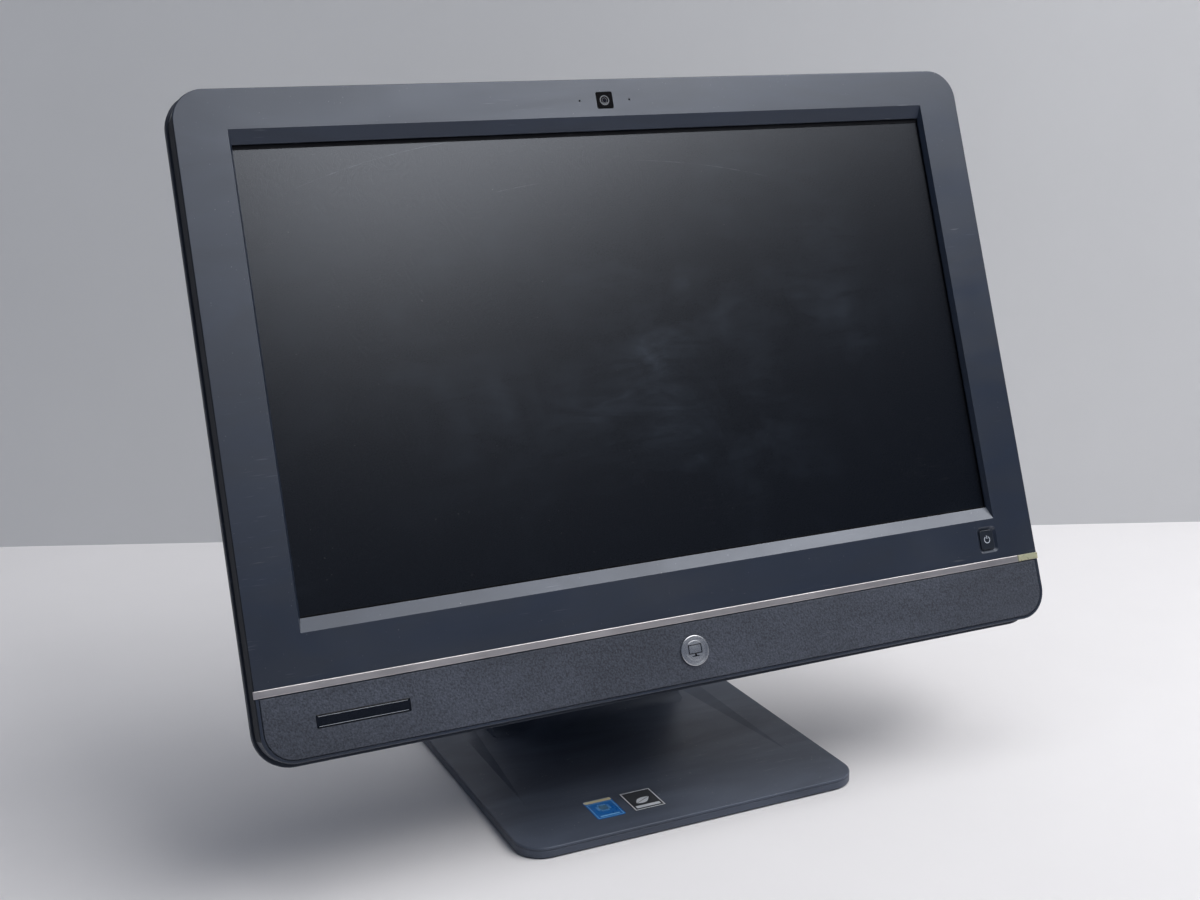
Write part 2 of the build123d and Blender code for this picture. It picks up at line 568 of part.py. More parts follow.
def disc_spindle():
    """Motor hub with the three balls that grip a disc, and the lens carriage beside it."""
    y0 = DISC_Y0 + 2.6
    hub = rod_y(16.0, y0 + 2.0, y0 + 2.6, SPINDLE_X, DISC_MID_Z)
    hub += rod_y(12.5, y0 + 1.0, y0 + 2.1, SPINDLE_X, DISC_MID_Z)
    hub += chamfer(front_edges(rod_y(7.3, y0 - 0.4, y0 + 1.2, SPINDLE_X, DISC_MID_Z)), 0.5)
    x, z = SPINDLE_X - 33, DISC_MID_Z - 16
    carriage = plate(rounded(26, 19, 3, x, z), y0 + 2.4, y0 + 3.2)
    carriage += rod_y(3.0, y0 + 1.9, y0 + 2.6, x, z)
    return hub + carriage


def tray_bezel():
    """The tray's front plate, flush in the rear cover's side, with its button hole and release pinhole."""
    x0, x1 = TRAY_FACE_X - 2.2, TRAY_FACE_X
    panel = block(x0, x1, DISC_Y0 + 0.2, DISC_Y1 - 0.2, DISC_Z0 + 0.5, DISC_Z1 - 0.5)
    outer = panel.edges().group_by(Axis.X)[-1]
    panel = fillet(outer, 0.6)
    mid_y = (DISC_Y0 + DISC_Y1) / 2
    panel -= block(x0 - 1, x1 + 1, mid_y - 2.25, mid_y + 2.25, EJECT_Z - 6.25, EJECT_Z + 6.25)
    return panel - rod_x(0.7, x0 - 1, x1 + 1, mid_y, EJECT_Z + 14)


def eject_button():
    mid_y = (DISC_Y0 + DISC_Y1) / 2
    cap = block(TRAY_FACE_X - 1.5, TRAY_FACE_X + 0.25, mid_y - 2.0, mid_y + 2.0, EJECT_Z - 6, EJECT_Z + 6)
    return fillet(cap.edges().group_by(Axis.X)[-1], 0.4)


# ---------------------------------------------------------------- head: side ports, under the drive
SIDE_PORT_Z = {"card": -48.0, "usb_upper": -70.0, "usb_lower": -90.0, "headphones": -106.0, "microphone": -118.0}
SIDE_PORT_Y = 23.6
SIDE_PORT_FACE_X = WALL_W / 2 - 0.4


def side_port_cuts():
    """The openings that the rear cover needs for the side sockets."""
    x0, x1 = 236.0, 254.0
    y, z = SIDE_PORT_Y, SIDE_PORT_Z["card"]
    cuts = block(x0, x1, y - 1.6, y + 1.6, z - 12.5, z + 12.5)
    for name in ("usb_upper", "usb_lower"):
        z = SIDE_PORT_Z[name]
        cuts += block(x0, x1, y - 3.2, y + 3.2, z - 7, z + 7)
    for name in ("headphones", "microphone"):
        cuts += rod_x(3.4, x0, x1, y, SIDE_PORT_Z[name])
    return cuts


def side_ports():
    """Small board with a card slot, two serial-bus sockets and two audio jacks."""
    y, z = SIDE_PORT_Y, SIDE_PORT_Z["card"]
    outer = SIDE_PORT_FACE_X
    made = block(214, 241, y + 3.6, y + 5.0, -126, -32)
    made += block(216, outer, y - 1.4, y + 1.4, z - 12.3, z + 12.3)
    made += block(216, 238, y - 1.4, y + 3.6, z - 12.3, z + 12.3)
    made -= block(222, outer + 1, y - 0.9, y + 0.9, z - 11.3, z + 11.3)
    for name in ("usb_upper", "usb_lower"):
        z = SIDE_PORT_Z[name]
        made += block(222, outer, y - 3.0, y + 3.0, z - 6.8, z + 6.8)
        made += block(222, 238, y, y + 3.6, z - 6.8, z + 6.8)
        made -= block(236, outer + 1, y - 2.4, y + 2.4, z - 6.2, z + 6.2)
        made += block(235, outer - 0.8, y - 1.8, y - 0.1, z - 5.4, z + 5.4)
    for name in ("headphones", "microphone"):
        z = SIDE_PORT_Z[name]
        made += rod_x(3.2, 230, outer, y, z) + block(226, 240, y - 3.2, y + 3.6, z - 4.5, z + 4.5)
        made -= rod_x(1.8, 232, outer + 1, y, z)
    return made


# ---------------------------------------------------------------- head: rear cover and its door
DOOR = (66.0, 142.0, -104.0, -24.0)
DOOR_SCREWS = [(104.0, -30.0), (104.0, -98.0)]


def cover_form(inset):
    """The rear cover's outer form, or with an inset the form of its inside."""
    wall = plate(rounded(WALL_W - 2 * inset, WALL_H - 2 * inset, CORNER_R - inset, 0, HEAD_MID_Z),
                 RIM_FRONT - (1 if inset else 0), WALL_BACK)
    mid = (PLATEAU_TOP + PLATEAU_BOTTOM) / 2
    start = face_at(rounded(WALL_W - 2 * inset, WALL_H - 2 * inset, CORNER_R - inset, 0, HEAD_MID_Z), WALL_BACK)
    end = face_at(rounded(PLATEAU_W - 2 * inset, PLATEAU_TOP - PLATEAU_BOTTOM - 2 * inset, 30 - inset, 0, mid),
                  HEAD_DEPTH - inset)
    return wall + loft([start, end], ruled=True)


def vent_slots():
    """Rows of upright slots: warm air out through the upper slope, cool air in through the flat."""
    slots = Part()
    for n in range(26):
        x = 8.0 * (n - 12.5)
        slots += plate(rounded(3.2, 26, 1.5, x, 118), 30, HEAD_DEPTH + 1)
        slots += plate(rounded(3.2, 22, 1.5, x, 62), 50, HEAD_DEPTH + 1)
    for side in (-1, 1):
        for n in range(9):
            slots += plate(rounded(3.2, 30, 1.5, side * (122 + 7 * n), -128), 50, HEAD_DEPTH + 1)
    return slots


def rear_cover():
    rim = plate(rounded(RIM_W, RIM_H, RIM_CORNER_R, 0, HEAD_MID_Z), RIM_FRONT, RIM_BACK)
    rim = fillet(front_edges(rim), 0.6)
    rim = fillet(back_edges(rim), 1.6)
    outer = cover_form(0)
    outer = fillet(outer.faces().sort_by(Axis.Y)[-1].edges(), 6.0)
    cover = rim + outer
    cover -= cover_form(SHELL)
    for x, z in COVER_SCREWS:
        cover += rod_y(5.0, CHASSIS_Y + CHASSIS_T + 0.1, HEAD_DEPTH - 1, x, z)
        cover -= rod_y(3.5, HEAD_DEPTH - 3.0, HEAD_DEPTH + 2, x, z) + rod_y(1.7, 30, HEAD_DEPTH, x, z)
    cover -= vent_slots()
    cover -= plate(span(IO_X0, IO_X1, IO_Z0, IO_Z1, 2.0), 50, HEAD_DEPTH + 1)
    x0, x1, z0, z1 = DOOR
    cover -= plate(span(x0 - 0.3, x1 + 0.3, z0 - 0.3, z1 + 0.3, 4.3), HEAD_DEPTH - 1.3, HEAD_DEPTH + 1)
    cover -= plate(span(x0 + 3, x1 - 3, z0 + 10, z1 - 10, 2.0), 50, HEAD_DEPTH)
    for x, z in DOOR_SCREWS:
        cover -= rod_y(1.5, 50, HEAD_DEPTH, x, z)
    for x, z in VESA_SPOTS:
        cover -= rod_y(2.4, 50, HEAD_DEPTH + 1, x, z)
    cover -= block(236, 260, DISC_Y0 - 0.1, DISC_Y1 + 0.1, DISC_Z0, DISC_Z1)
    cover -= side_port_cuts()
    lock = plate(span(-158, -151, -160, -157, 1.2), 50, HEAD_DEPTH + 1)
    return cover - lock


def service_door():
    x0, x1, z0, z1 = DOOR
    door = plate(span(x0, x1, z0, z1, 4), HEAD_DEPTH - 1.25, HEAD_DEPTH)
    door = fillet(back_edges(door), 0.4)
    door += plate(span(x0 + 4, x1 - 4, z0 + 11, z1 - 11, 2), HEAD_DEPTH - SHELL, HEAD_DEPTH - 1.2)
    for x, z in DOOR_SCREWS:
        door -= rod_y(1.5, 50, HEAD_DEPTH + 1, x, z)
    return door


def pan_head_screw(x, z, seat, length, r_head=3.2, r_shank=1.45, head=1.8):
    """A cross-recess screw driven towards the front, its head seated at depth seat."""
    top = fillet(back_edges(rod_y(r_head, seat, seat + head, x, z)), 0.6)
    cross = block(x - 1.7, x + 1.7, seat + head - 1.1, seat + head + 1, z - 0.35, z + 0.35)
    cross += block(x - 0.35, x + 0.35, seat + head - 1.1, seat + head + 1, z - 1.7, z + 1.7)
    return top + rod_y(r_shank, seat - length, seat + 0.1, x, z) - cross


def cover_screws():
    made = Part()
    for x, z in COVER_SCREWS:
        made += pan_head_screw(x, z, HEAD_DEPTH - 3.0, 22.0, r_shank=1.65)
    for x, z in DOOR_SCREWS:
        made += pan_head_screw(x, z, HEAD_DEPTH, 5.0, r_head=2.8, head=1.4)
    return made


# ---------------------------------------------------------------- tilt hinge
KNUCKLE_R, KNUCKLE_X = 12.5, 40.0
SHAFT_R = 5.0
RUNNING_GAP = 0.05
BRACKET_Y0, BRACKET_Y1 = HEAD_DEPTH, HEAD_DEPTH + 2.5
ARM_X0, ARM_X1, ARM_R = 41.0, 46.0, 11.0
HINGE_COVER_X0, HINGE_COVER_X1, HINGE_COVER_R = 40.6, 60.0, 13.2
WASHER_X0, WASHER_T, WASHER_COUNT = 46.1, 0.9, 3
NUT_X0, NUT_X1 = 49.3, 55.0


def hinge_bracket():
    """Steel plate on the head's back, with the two eyed arms that turn on the shaft."""
    bracket = plate(rounded(120, 120, 8, 0, PIVOT_Z), BRACKET_Y0, BRACKET_Y1)
    for x, z in VESA_SPOTS:
        bracket -= rod_y(2.3, 60, 66, x, z)
    arm = rod_x(ARM_R, ARM_X0, ARM_X1, PIVOT_Y, PIVOT_Z)
    arm += block(ARM_X0, ARM_X1, BRACKET_Y1 - 0.5, PIVOT_Y, PIVOT_Z - ARM_R, PIVOT_Z + ARM_R)
    arm -= rod_x(SHAFT_R + RUNNING_GAP, ARM_X0 - 1, ARM_X1 + 1, PIVOT_Y, PIVOT_Z)
    return bracket + both_sides(arm)


def hinge_bracket_screws():
    made = Part()
    for x, z in VESA_SPOTS:
        made += pan_head_screw(x, z, BRACKET_Y1, 16.0, r_head=3.9, r_shank=1.85, head=2.2)
    return made


def hinge_cover(side):
    """Plastic hood over one arm, its washers and its nut, open on the neck's side."""
    x0, x1 = HINGE_COVER_X0, HINGE_COVER_X1
    hood = rod_x(HINGE_COVER_R, x0, x1, PIVOT_Y, PIVOT_Z)
    hood += block(x0, x1, BRACKET_Y1, PIVOT_Y, PIVOT_Z - HINGE_COVER_R, PIVOT_Z + HINGE_COVER_R)
    outer = hood.edges().filter_by(GeomType.CIRCLE).group_by(Axis.X)[-1]
    hood = fillet(outer, 1.2)
    cavity = rod_x(ARM_R + 0.5, x0 - 1, x1 - 1.6, PIVOT_Y, PIVOT_Z)
    cavity += block(x0 - 1, x1 - 1.6, BRACKET_Y1 - 1, PIVOT_Y, PIVOT_Z - ARM_R - 0.5, PIVOT_Z + ARM_R + 0.5)
    hood -= cavity
    return hood if side > 0 else mirror(hood, about=Plane.YZ)


def hinge_shaft():
    y, z = PIVOT[1:]
    shaft = rod_x(SHAFT_R, -57, 57, y, z)
    return chamfer(shaft.edges().filter_by(GeomType.CIRCLE), 0.8)


def friction_washers():
    """Spring washers that squeeze each arm, so that the head stays where it is put."""
    y, z = PIVOT[1:]
    made = Part()
    for n in range(WASHER_COUNT):
        x0 = WASHER_X0 + n * (WASHER_T + 0.1)
        made += rod_x(9.5, x0, x0 + WASHER_T, y, z) - rod_x(SHAFT_R, x0 - 1, x0 + 2, y, z)
    return both_sides(made)


def hinge_nuts():
    y, z = PIVOT[1:]
    flats = Plane.YZ.offset(NUT_X0) * Pos(y, z) * RegularPolygon(9.2, 6)
    nut = extrude(flats, amount=NUT_X1 - NUT_X0) - rod_x(SHAFT_R, NUT_X0 - 1, NUT_X1 + 1, y, z)
    return both_sides(nut)


# ---------------------------------------------------------------- stand: neck
NECK_FOOT_Y0, NECK_FOOT_Y1 = 68.0, 96.0
NECK_FOOT_Z = FOOT_TOP - 2.4
NECK_HALF_TOP, NECK_HALF_MID, NECK_HALF_FOOT = KNUCKLE_X, 56.0, 70.0
NECK_WALL, NECK_EDGE_R = 2.5, 2.5
CABLE_HOLE_W, CABLE_HOLE_H, CABLE_HOLE_Z = 46.0, 26.0, 62.0
NECK_CORE_X = 34.0


def neck_line_y(z):
    """Where the neck's middle plane is at height z."""
    foot_y = (NECK_FOOT_Y0 + NECK_FOOT_Y1) / 2
    share = (PIVOT[2] - z) / (PIVOT[2] - NECK_FOOT_Z)
    return PIVOT[1] + share * (foot_y - PIVOT[1])


def neck_profile(inset):
    """Side view of the neck, drawn in Y and Z: a round end on the tilt axis, running down to the foot."""
    r = KNUCKLE_R - inset
    y0, y1 = NECK_FOOT_Y0 + inset, NECK_FOOT_Y1 - inset
    foot = Pos((y0 + y1) / 2, NECK_FOOT_Z + 1.5) * Rectangle(y1 - y0, 3.0)
    return make_hull((Pos(PIVOT[1], PIVOT[2]) * Circle(r)).edges() + foot.edges())


def neck_front_view(inset):
    """Front view of the neck, drawn in X and Z: narrow at the knuckle, spreading to the foot."""
    top, mid, foot = (w - inset for w in (NECK_HALF_TOP, NECK_HALF_MID, NECK_HALF_FOOT))
    shoulder = PIVOT[2] - 20
    points = [(foot, NECK_FOOT_Z - 1), (mid, NECK_FOOT_Z + 60), (mid, shoulder - 18 - inset), (top, shoulder - inset),
              (top, PIVOT[2] + 20)]
    outline = Polyline(*points, *[(-x, z) for x, z in reversed(points)], close=True)
    return make_face(outline)


def neck_form(inset):
    side = extrude(Plane.YZ * neck_profile(inset), amount=90, both=True)
    front = extrude(Plane.XZ * neck_front_view(inset), amount=150, both=True)
    return side & front


def neck_half(front):
    """Everything on one side of the neck's middle plane."""
    top, low = PIVOT[2] + 40, NECK_FOOT_Z - 20
    edge = [(neck_line_y(top), top), (neck_line_y(low), low)]
    far = -80 if front else 220
    region = make_face(Polyline(*edge, (far, low), (far, top), close=True))
    return extrude(Plane.YZ * region, amount=100, both=True)


def cable_hole(grow=0.0):
    w, h = CABLE_HOLE_W + 2 * grow, CABLE_HOLE_H + 2 * grow
    return plate(rounded(w, h, 8 + grow, 0, CABLE_HOLE_Z), 0, 150)


def neck_shell():
    outer = neck_form(0)
    low, high = NECK_FOOT_Z + 2, PIVOT[2] - KNUCKLE_R
    side_edges = [e for e in outer.edges() if abs(e.center().X) > 30 and low < e.center().Z < high]
    outer = fillet(side_edges, NECK_EDGE_R)
    shell = outer - neck_form(NECK_WALL)
    shell += (neck_form(0.3) & cable_hole(2.4)) - cable_hole(0)
    shell -= cable_hole(0)
    return shell - rod_x(SHAFT_R + 0.3, -60, 60, PIVOT[1], PIVOT[2])


def neck_core():
    """Steel strut: a tube on the shaft, a flat strap inside the covers and a flange on the foot."""
    y, z = PIVOT[1:]
    strap_y = 1.5
    top, low = z, NECK_FOOT_Z + 0.3
    edge = [(neck_line_y(h) + d, h) for h, d in ((top, -strap_y), (low, -strap_y), (low, strap_y), (top, strap_y))]
    strap = extrude(Plane.YZ * make_face(Polyline(*edge, close=True)), amount=NECK_CORE_X, both=True)
    strap -= cable_hole(3.2)
    tube = rod_x(8.0, -37, 37, y, z)
    flange = block(-58, 58, NECK_FOOT_Y0 + 3.2, NECK_FOOT_Y1 - 3.2, NECK_FOOT_Z, NECK_FOOT_Z + 2.5)
    return strap + tube + flange - rod_x(SHAFT_R, -60, 60, y, z)


def cable_guide():
    """Soft trim ring that lines the cable hole."""
    ring = cable_hole(-0.1) - cable_hole(-2.0)
    return ring & neck_form(1.0)


# ---------------------------------------------------------------- stand: foot
SCOOP_Y0, SCOOP_Y1 = -50.4, 78.0
SCOOP_X, SCOOP_BEVEL, SCOOP_DEPTH = 88.5, 12.0, 2.4
FAIRING_R, FAIRING_CORNER_R = 12.0, 9.0
FAIRING_SEAT, FAIRING_SINK = 0.4, 0.05      # how far it and its sharp toe are let into the floor
FOOT_WALL = 1.6
STICKER_THICK = 0.15
GROOVE_Z, GROOVE_SIZE = 5.0, 0.35           # the shadow line round the foot's edge
FOOT_SCREWS = [(-50, -90), (50, -90), (-94, 52), (94, 52)]
PAD_SPOTS = [(-88, -82), (88, -82), (-88, 82), (88, 82)]
WEIGHT = (-72.0, 72.0, -82.0, 12.0)


def foot_outline(inset=0.0):
    return RectangleRounded(FOOT_W - 2 * inset, FOOT_D - 2 * inset, FOOT_CORNER_R - inset)


def scoop():
    """The shallow hollow in the foot: nothing at the front, deepest against the neck, with sloping sides."""
    top = FOOT_TOP + 0.001
    rise = 2.0
    front = [(-SCOOP_X, SCOOP_Y0, top), (SCOOP_X, SCOOP_Y0, top)]
    back_top = [(-SCOOP_X, SCOOP_Y1, top), (SCOOP_X, SCOOP_Y1, top)]
    deep = SCOOP_X - SCOOP_BEVEL
    back_low = [(-deep, SCOOP_Y1, top - SCOOP_DEPTH), (deep, SCOOP_Y1, top - SCOOP_DEPTH)]

    def patch(*points):
        return make_face(Polyline(*points, close=True))

    faces = [patch(front[0], front[1], back_top[1], back_top[0]), patch(front[0], front[1], back_low[1], back_low[0]),
             patch(front[0], back_top[0], back_low[0]), patch(front[1], back_top[1], back_low[1]),
             patch(back_top[0], back_top[1], back_low[1], back_low[0])]
    wedge = Solid(Shell([f.face() for f in faces]))
    lid = block(-SCOOP_X, SCOOP_X, SCOOP_Y0, SCOOP_Y1, top - 0.001, top + rise)
    return wedge + lid


def neck_fairing():
    """The hollow curve that carries the foot's scooped floor up into the neck's leaning front face."""
    slope = SCOOP_DEPTH / (SCOOP_Y1 - SCOOP_Y0)
    rise, run = PIVOT[2] - NECK_FOOT_Z, NECK_FOOT_Y0 - PIVOT[1]
    lean = atan2(run, rise) + asin(KNUCKLE_R / hypot(run, rise))
    corner = Vector(NECK_FOOT_Y0, FOOT_TOP - (NECK_FOOT_Y0 - SCOOP_Y0) * slope)
    along_floor = Vector(-1, slope).normalized()
    up_face = Vector(-sin(lean), cos(lean))
    half_angle = radians(along_floor.get_angle(up_face)) / 2
    reach = FAIRING_R / tan(half_angle)
    toe, top = corner + along_floor * reach, corner + up_face * reach
    centre = corner + (along_floor + up_face).normalized() * (FAIRING_R / sin(half_angle))
    seat = corner.Y - FAIRING_SEAT
    corners = [(toe.X, toe.Y), (toe.X, toe.Y - FAIRING_SEAT), (corner.X + 1, seat), (top.X + 2, top.Y), (top.X, top.Y)]
    outline = make_face(Polyline(*corners, close=True))
    outline -= Pos(centre.X, centre.Y - FAIRING_SINK) * Circle(FAIRING_R)
    bar = extrude(Plane.YZ * outline, amount=NECK_HALF_FOOT, both=True)
    plan = Pos(0, toe.X + 50) * RectangleRounded(2 * NECK_HALF_FOOT, 100, FAIRING_CORNER_R)
    sides = extrude(Plane.XZ * neck_front_view(0), amount=150, both=True)
    return bar & extrude(plan, amount=40) & sides


def base_cover():
    cover = extrude(Pos(0, 0, FOOT_SPLIT) * foot_outline(), amount=FOOT_TOP - FOOT_SPLIT)
    cover = fillet(cover.edges().group_by(Axis.Z)[-1], 0.9)
    lip = foot_outline() - foot_outline(FOOT_WALL)
    cover += extrude(Pos(0, 0, FOOT_LIP) * lip, amount=FOOT_SPLIT - FOOT_LIP)
    cover -= extrude(Pos(0, 0, GROOVE_Z) * (foot_outline(-1) - foot_outline(GROOVE_SIZE)), amount=GROOVE_SIZE)
    cover -= scoop()
    cover += neck_fairing()
    cover -= neck_form(-0.05)
    x0, x1, y0, y1 = WEIGHT
    cover -= block(x0 - 0.4, x1 + 0.4, y0 - 0.4, y1 + 0.4, FOOT_SPLIT - 1, FOOT_SPLIT + 1.25)
    cover -= block(-NECK_HALF_FOOT - 0.1, NECK_HALF_FOOT + 0.1, NECK_FOOT_Y0 - 0.1, NECK_FOOT_Y1 + 0.1,
                   NECK_FOOT_Z - 0.02, FOOT_TOP + 1)
    for x, y in FOOT_SCREWS:
        cover -= Pos(x, y, FOOT_SPLIT) * Cylinder(1.4, 5.0)
    return cover


def base_weight_plate():
    x0, x1, y0, y1 = WEIGHT
    return block(x0, x1, y0, y1, FOOT_SPLIT, FOOT_SPLIT + 1.2)


def base_bottom_plate():
    bottom = extrude(Pos(0, 0, FOOT_PAD) * foot_outline(FOOT_WALL + 0.2), amount=FOOT_SPLIT - FOOT_PAD)
    bottom = fillet(bottom.edges().group_by(Axis.Z)[0], 0.5)
    for x, y in FOOT_SCREWS:
        bottom -= Pos(x, y, FOOT_PAD) * Cylinder(3.0, 1.4) + Pos(x, y, FOOT_PAD) * Cylinder(1.4, 6)
    return bottom


def base_screws():
    made = Part()
    for x, y in FOOT_SCREWS:
        made += Pos(x, y, FOOT_PAD + 0.4) * Cylinder(2.7, 0.5)
        made += Pos(x, y, FOOT_PAD + 1.9) * Cylinder(1.35, 3.4)
    return made


def base_pads():
    made = Part()
    for x, y in PAD_SPOTS:
        pad = Pos(x, y, FOOT_PAD / 2) * Cylinder(9.0, FOOT_PAD)
        made += fillet(pad.edges().group_by(Axis.Z)[0], 0.3)
    return made


def sticker(x0, x1, y0, y1, r):
    outline = RectangleRounded(x1 - x0, y1 - y0, r)
    return extrude(Pos((x0 + x1) / 2, (y0 + y1) / 2, FOOT_TOP) * outline, amount=STICKER_THICK)


STICKER_Y0, STICKER_Y1 = -82.4, -58.8

# ---------------------------------------------------------------- everything, node by node
on_head("front_bezel", front_bezel())
on_head("trim_strip", trim_strip())
on_head("activity_light_pipe", activity_light_pipe())
on_head("speaker_grille", speaker_grille())
on_head("round_badge", round_badge())
on_head("nameplate", nameplate())
on_head("webcam_window", webcam_window())
on_head("webcam_module", webcam_module())
on_head("microphone_boots", microphone_boots())
on_head("power_button", power_button())
on_head("power_switch_board", power_switch_board())
on_head("lcd_glass", lcd_glass())
on_head("lcd_frame", lcd_frame())
on_head("backlight_unit", backlight_unit())
on_head("mid_frame", mid_frame())
on_head("chassis_plate", chassis_plate())
on_head("motherboard", motherboard())
on_head("cpu_heatsink", cpu_heatsink())
on_head("heat_pipe", heat_pipe())
on_head("blower_housing", blower_housing())
on_head("blower_impeller", blower_impeller())
on_head("memory_modules", memory_modules())
on_head("wireless_card", wireless_card())
on_head("hard_drive", hard_drive())
on_head("hard_drive_cage", hard_drive_cage())
on_head("speaker_left", speaker(-1))
on_head("speaker_right", speaker(1))
on_head("usb_ports", usb_ports())
on_head("network_jack", network_jack())
on_head("video_ports", video_ports())
on_head("rear_audio_jacks", rear_audio_jacks())
on_head("power_inlet", power_inlet())
on_head("rear_io_bracket", rear_io_bracket())
on_head("optical_drive_case", optical_drive_case())
on_head("disc_tray", disc_tray())
on_head("disc_spindle", disc_spindle())
on_head("tray_bezel", tray_bezel())
on_head("eject_button", eject_button())
on_head("side_ports", side_ports())
on_head("rear_cover", rear_cover())
on_head("service_door", service_door())
on_head("cover_screws", cover_screws())
on_head("hinge_bracket", hinge_bracket())
on_head("hinge_bracket_screws", hinge_bracket_screws())
on_head("hinge_cover_left", hinge_cover(-1))
on_head("hinge_cover_right", hinge_cover(1))

neck = neck_shell()
on_stand("hinge_shaft", hinge_shaft())
on_stand("friction_washers", friction_washers())
on_stand("hinge_nuts", hinge_nuts())
on_stand("neck_front_cover", neck & neck_half(True))
on_stand("neck_rear_cover", neck & neck_half(False))
on_stand("neck_core", neck_core())
on_stand("cable_guide", cable_guide())
on_stand("base_cover", base_cover())
on_stand("base_weight_plate", base_weight_plate())
on_stand("base_bottom_plate", base_bottom_plate())
on_stand("base_screws", base_screws())
on_stand("base_pads", base_pads())
on_stand("processor_sticker", sticker(-57.6, -39.6, STICKER_Y0, STICKER_Y1, 1.5))
on_stand("energy_sticker", sticker(-33.6, -13.4, STICKER_Y0, STICKER_Y1 + 0.4, 0.8))

os.makedirs("parts", exist_ok=True)
for name, shape in nodes.items():
    export_step(shape, f"parts/{name}.step")
print(len(nodes), "nodes", "pivot", PIVOT)
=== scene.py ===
"""All-in-one desktop computer on a pale table top, in soft studio light.

The CAD nodes keep their shapes and take procedural finishes.  Printed and inlaid details, contacts, lens
parts, meshes behind the vents and blank labels are added here, and ride on the CAD bodies.
"""
import json
from math import cos, pi, radians, sin

import bmesh
import bpy
from mathutils import Matrix, Vector


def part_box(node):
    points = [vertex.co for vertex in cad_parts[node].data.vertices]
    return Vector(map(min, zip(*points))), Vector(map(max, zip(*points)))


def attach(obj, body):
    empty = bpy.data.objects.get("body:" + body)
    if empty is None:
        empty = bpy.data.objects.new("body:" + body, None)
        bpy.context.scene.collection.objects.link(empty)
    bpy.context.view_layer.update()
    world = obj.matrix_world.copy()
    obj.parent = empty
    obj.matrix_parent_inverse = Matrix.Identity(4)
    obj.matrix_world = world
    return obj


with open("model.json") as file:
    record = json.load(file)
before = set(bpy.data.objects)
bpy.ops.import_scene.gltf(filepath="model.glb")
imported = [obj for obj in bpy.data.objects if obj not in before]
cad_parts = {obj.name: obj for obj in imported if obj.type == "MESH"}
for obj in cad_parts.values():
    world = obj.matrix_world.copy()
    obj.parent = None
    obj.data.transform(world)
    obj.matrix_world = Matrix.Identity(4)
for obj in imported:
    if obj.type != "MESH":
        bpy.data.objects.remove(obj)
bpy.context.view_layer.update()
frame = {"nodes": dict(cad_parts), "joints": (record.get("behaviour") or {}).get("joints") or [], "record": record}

MM = 0.001

# ---------------------------------------------------------------- places taken from the frame
JOINTS = {j["name"]: j for j in frame["joints"]}
PIVOT = Vector(JOINTS["head_tilt"]["pos_m"])
ACROSS = Vector((1, 0, 0))
INTO = Vector(JOINTS["power_button_press"]["axis"]).normalized()    # from the screen's face into the head
UP = ACROSS.cross(INTO)
PIVOT_DEPTH, PIVOT_RISE = 78.0 * MM, -38.0 * MM                     # the tilt axis in the head's own frame
HEAD_ORIGIN = PIVOT - INTO * PIVOT_DEPTH - UP * PIVOT_RISE
HEAD = Matrix.Translation(HEAD_ORIGIN) @ Matrix((ACROSS, INTO, UP)).transposed().to_4x4()
STAND = Matrix.Identity(4)


def head_spot(node):
    """The middle of a CAD node, in the head's frame: X across, Y into the head, Z up the screen, in mm."""
    inverse = HEAD.inverted()
    points = [inverse @ v.co for v in frame["nodes"][node].data.vertices]
    low = Vector(min(p[i] for p in points) for i in range(3))
    high = Vector(max(p[i] for p in points) for i in range(3))
    return (low + high) / 2 / MM, low / MM, high / MM


# ---------------------------------------------------------------- node trees
def wire(tree, socket, value):
    """A socket takes another node's output, or a plain value."""
    if isinstance(value, bpy.types.NodeSocket):
        tree.links.new(value, socket)
    else:
        socket.default_value = value


def add_node(tree, kind, inputs=None, **settings):
    made = tree.nodes.new("ShaderNode" + kind)
    for name, value in settings.items():
        setattr(made, name, value)
    for name, value in (inputs or {}).items():
        wire(tree, made.inputs[name], value)
    return made


def maths(tree, operation, *values, clamp=False):
    made = add_node(tree, "Math", dict(enumerate(values)), operation=operation, use_clamp=clamp)
    return made.outputs[0]


def blend_colour(tree, share, first, second, mode="MIX"):
    made = add_node(tree, "Mix", data_type="RGBA", blend_type=mode)
    for socket, value in zip((made.inputs[0], made.inputs[6], made.inputs[7]), (share, first, second)):
        wire(tree, socket, value)
    return made.outputs[2]


def remap(tree, value, low, high, to_low=0.0, to_high=1.0):
    made = add_node(tree, "MapRange", {0: value, 1: low, 2: high, 3: to_low, 4: to_high})
    return made.outputs[0]


def stretched(tree, vector, scale=(1, 1, 1), turn=(0, 0, 0), shift=(0, 0, 0)):
    made = add_node(tree, "Mapping", {"Vector": vector, "Location": shift, "Rotation": turn, "Scale": scale})
    return made.outputs[0]


def noise(tree, vector, scale, detail=2.0, roughness=0.5, distortion=0.0):
    made = add_node(tree, "TexNoise", {"Vector": vector, "Scale": scale, "Detail": detail,
                                       "Roughness": roughness, "Distortion": distortion})
    return made.outputs[0]


def cells(tree, vector, scale, **settings):
    """Distance to the nearest point of a random grid."""
    return add_node(tree, "TexVoronoi", {"Vector": vector, "Scale": scale}, **settings).outputs[0]


def dot(tree, first, second):
    return add_node(tree, "VectorMath", {0: first, 1: second}, operation="DOT_PRODUCT").outputs["Value"]


def length(tree, vector):
    return add_node(tree, "VectorMath", {0: vector}, operation="LENGTH").outputs["Value"]


def times(tree, first, second, clamp=False):
    return maths(tree, "MULTIPLY", first, second, clamp=clamp)


SOCKET_KINDS = {"value": "NodeSocketFloat", "vector": "NodeSocketVector", "colour": "NodeSocketColor"}


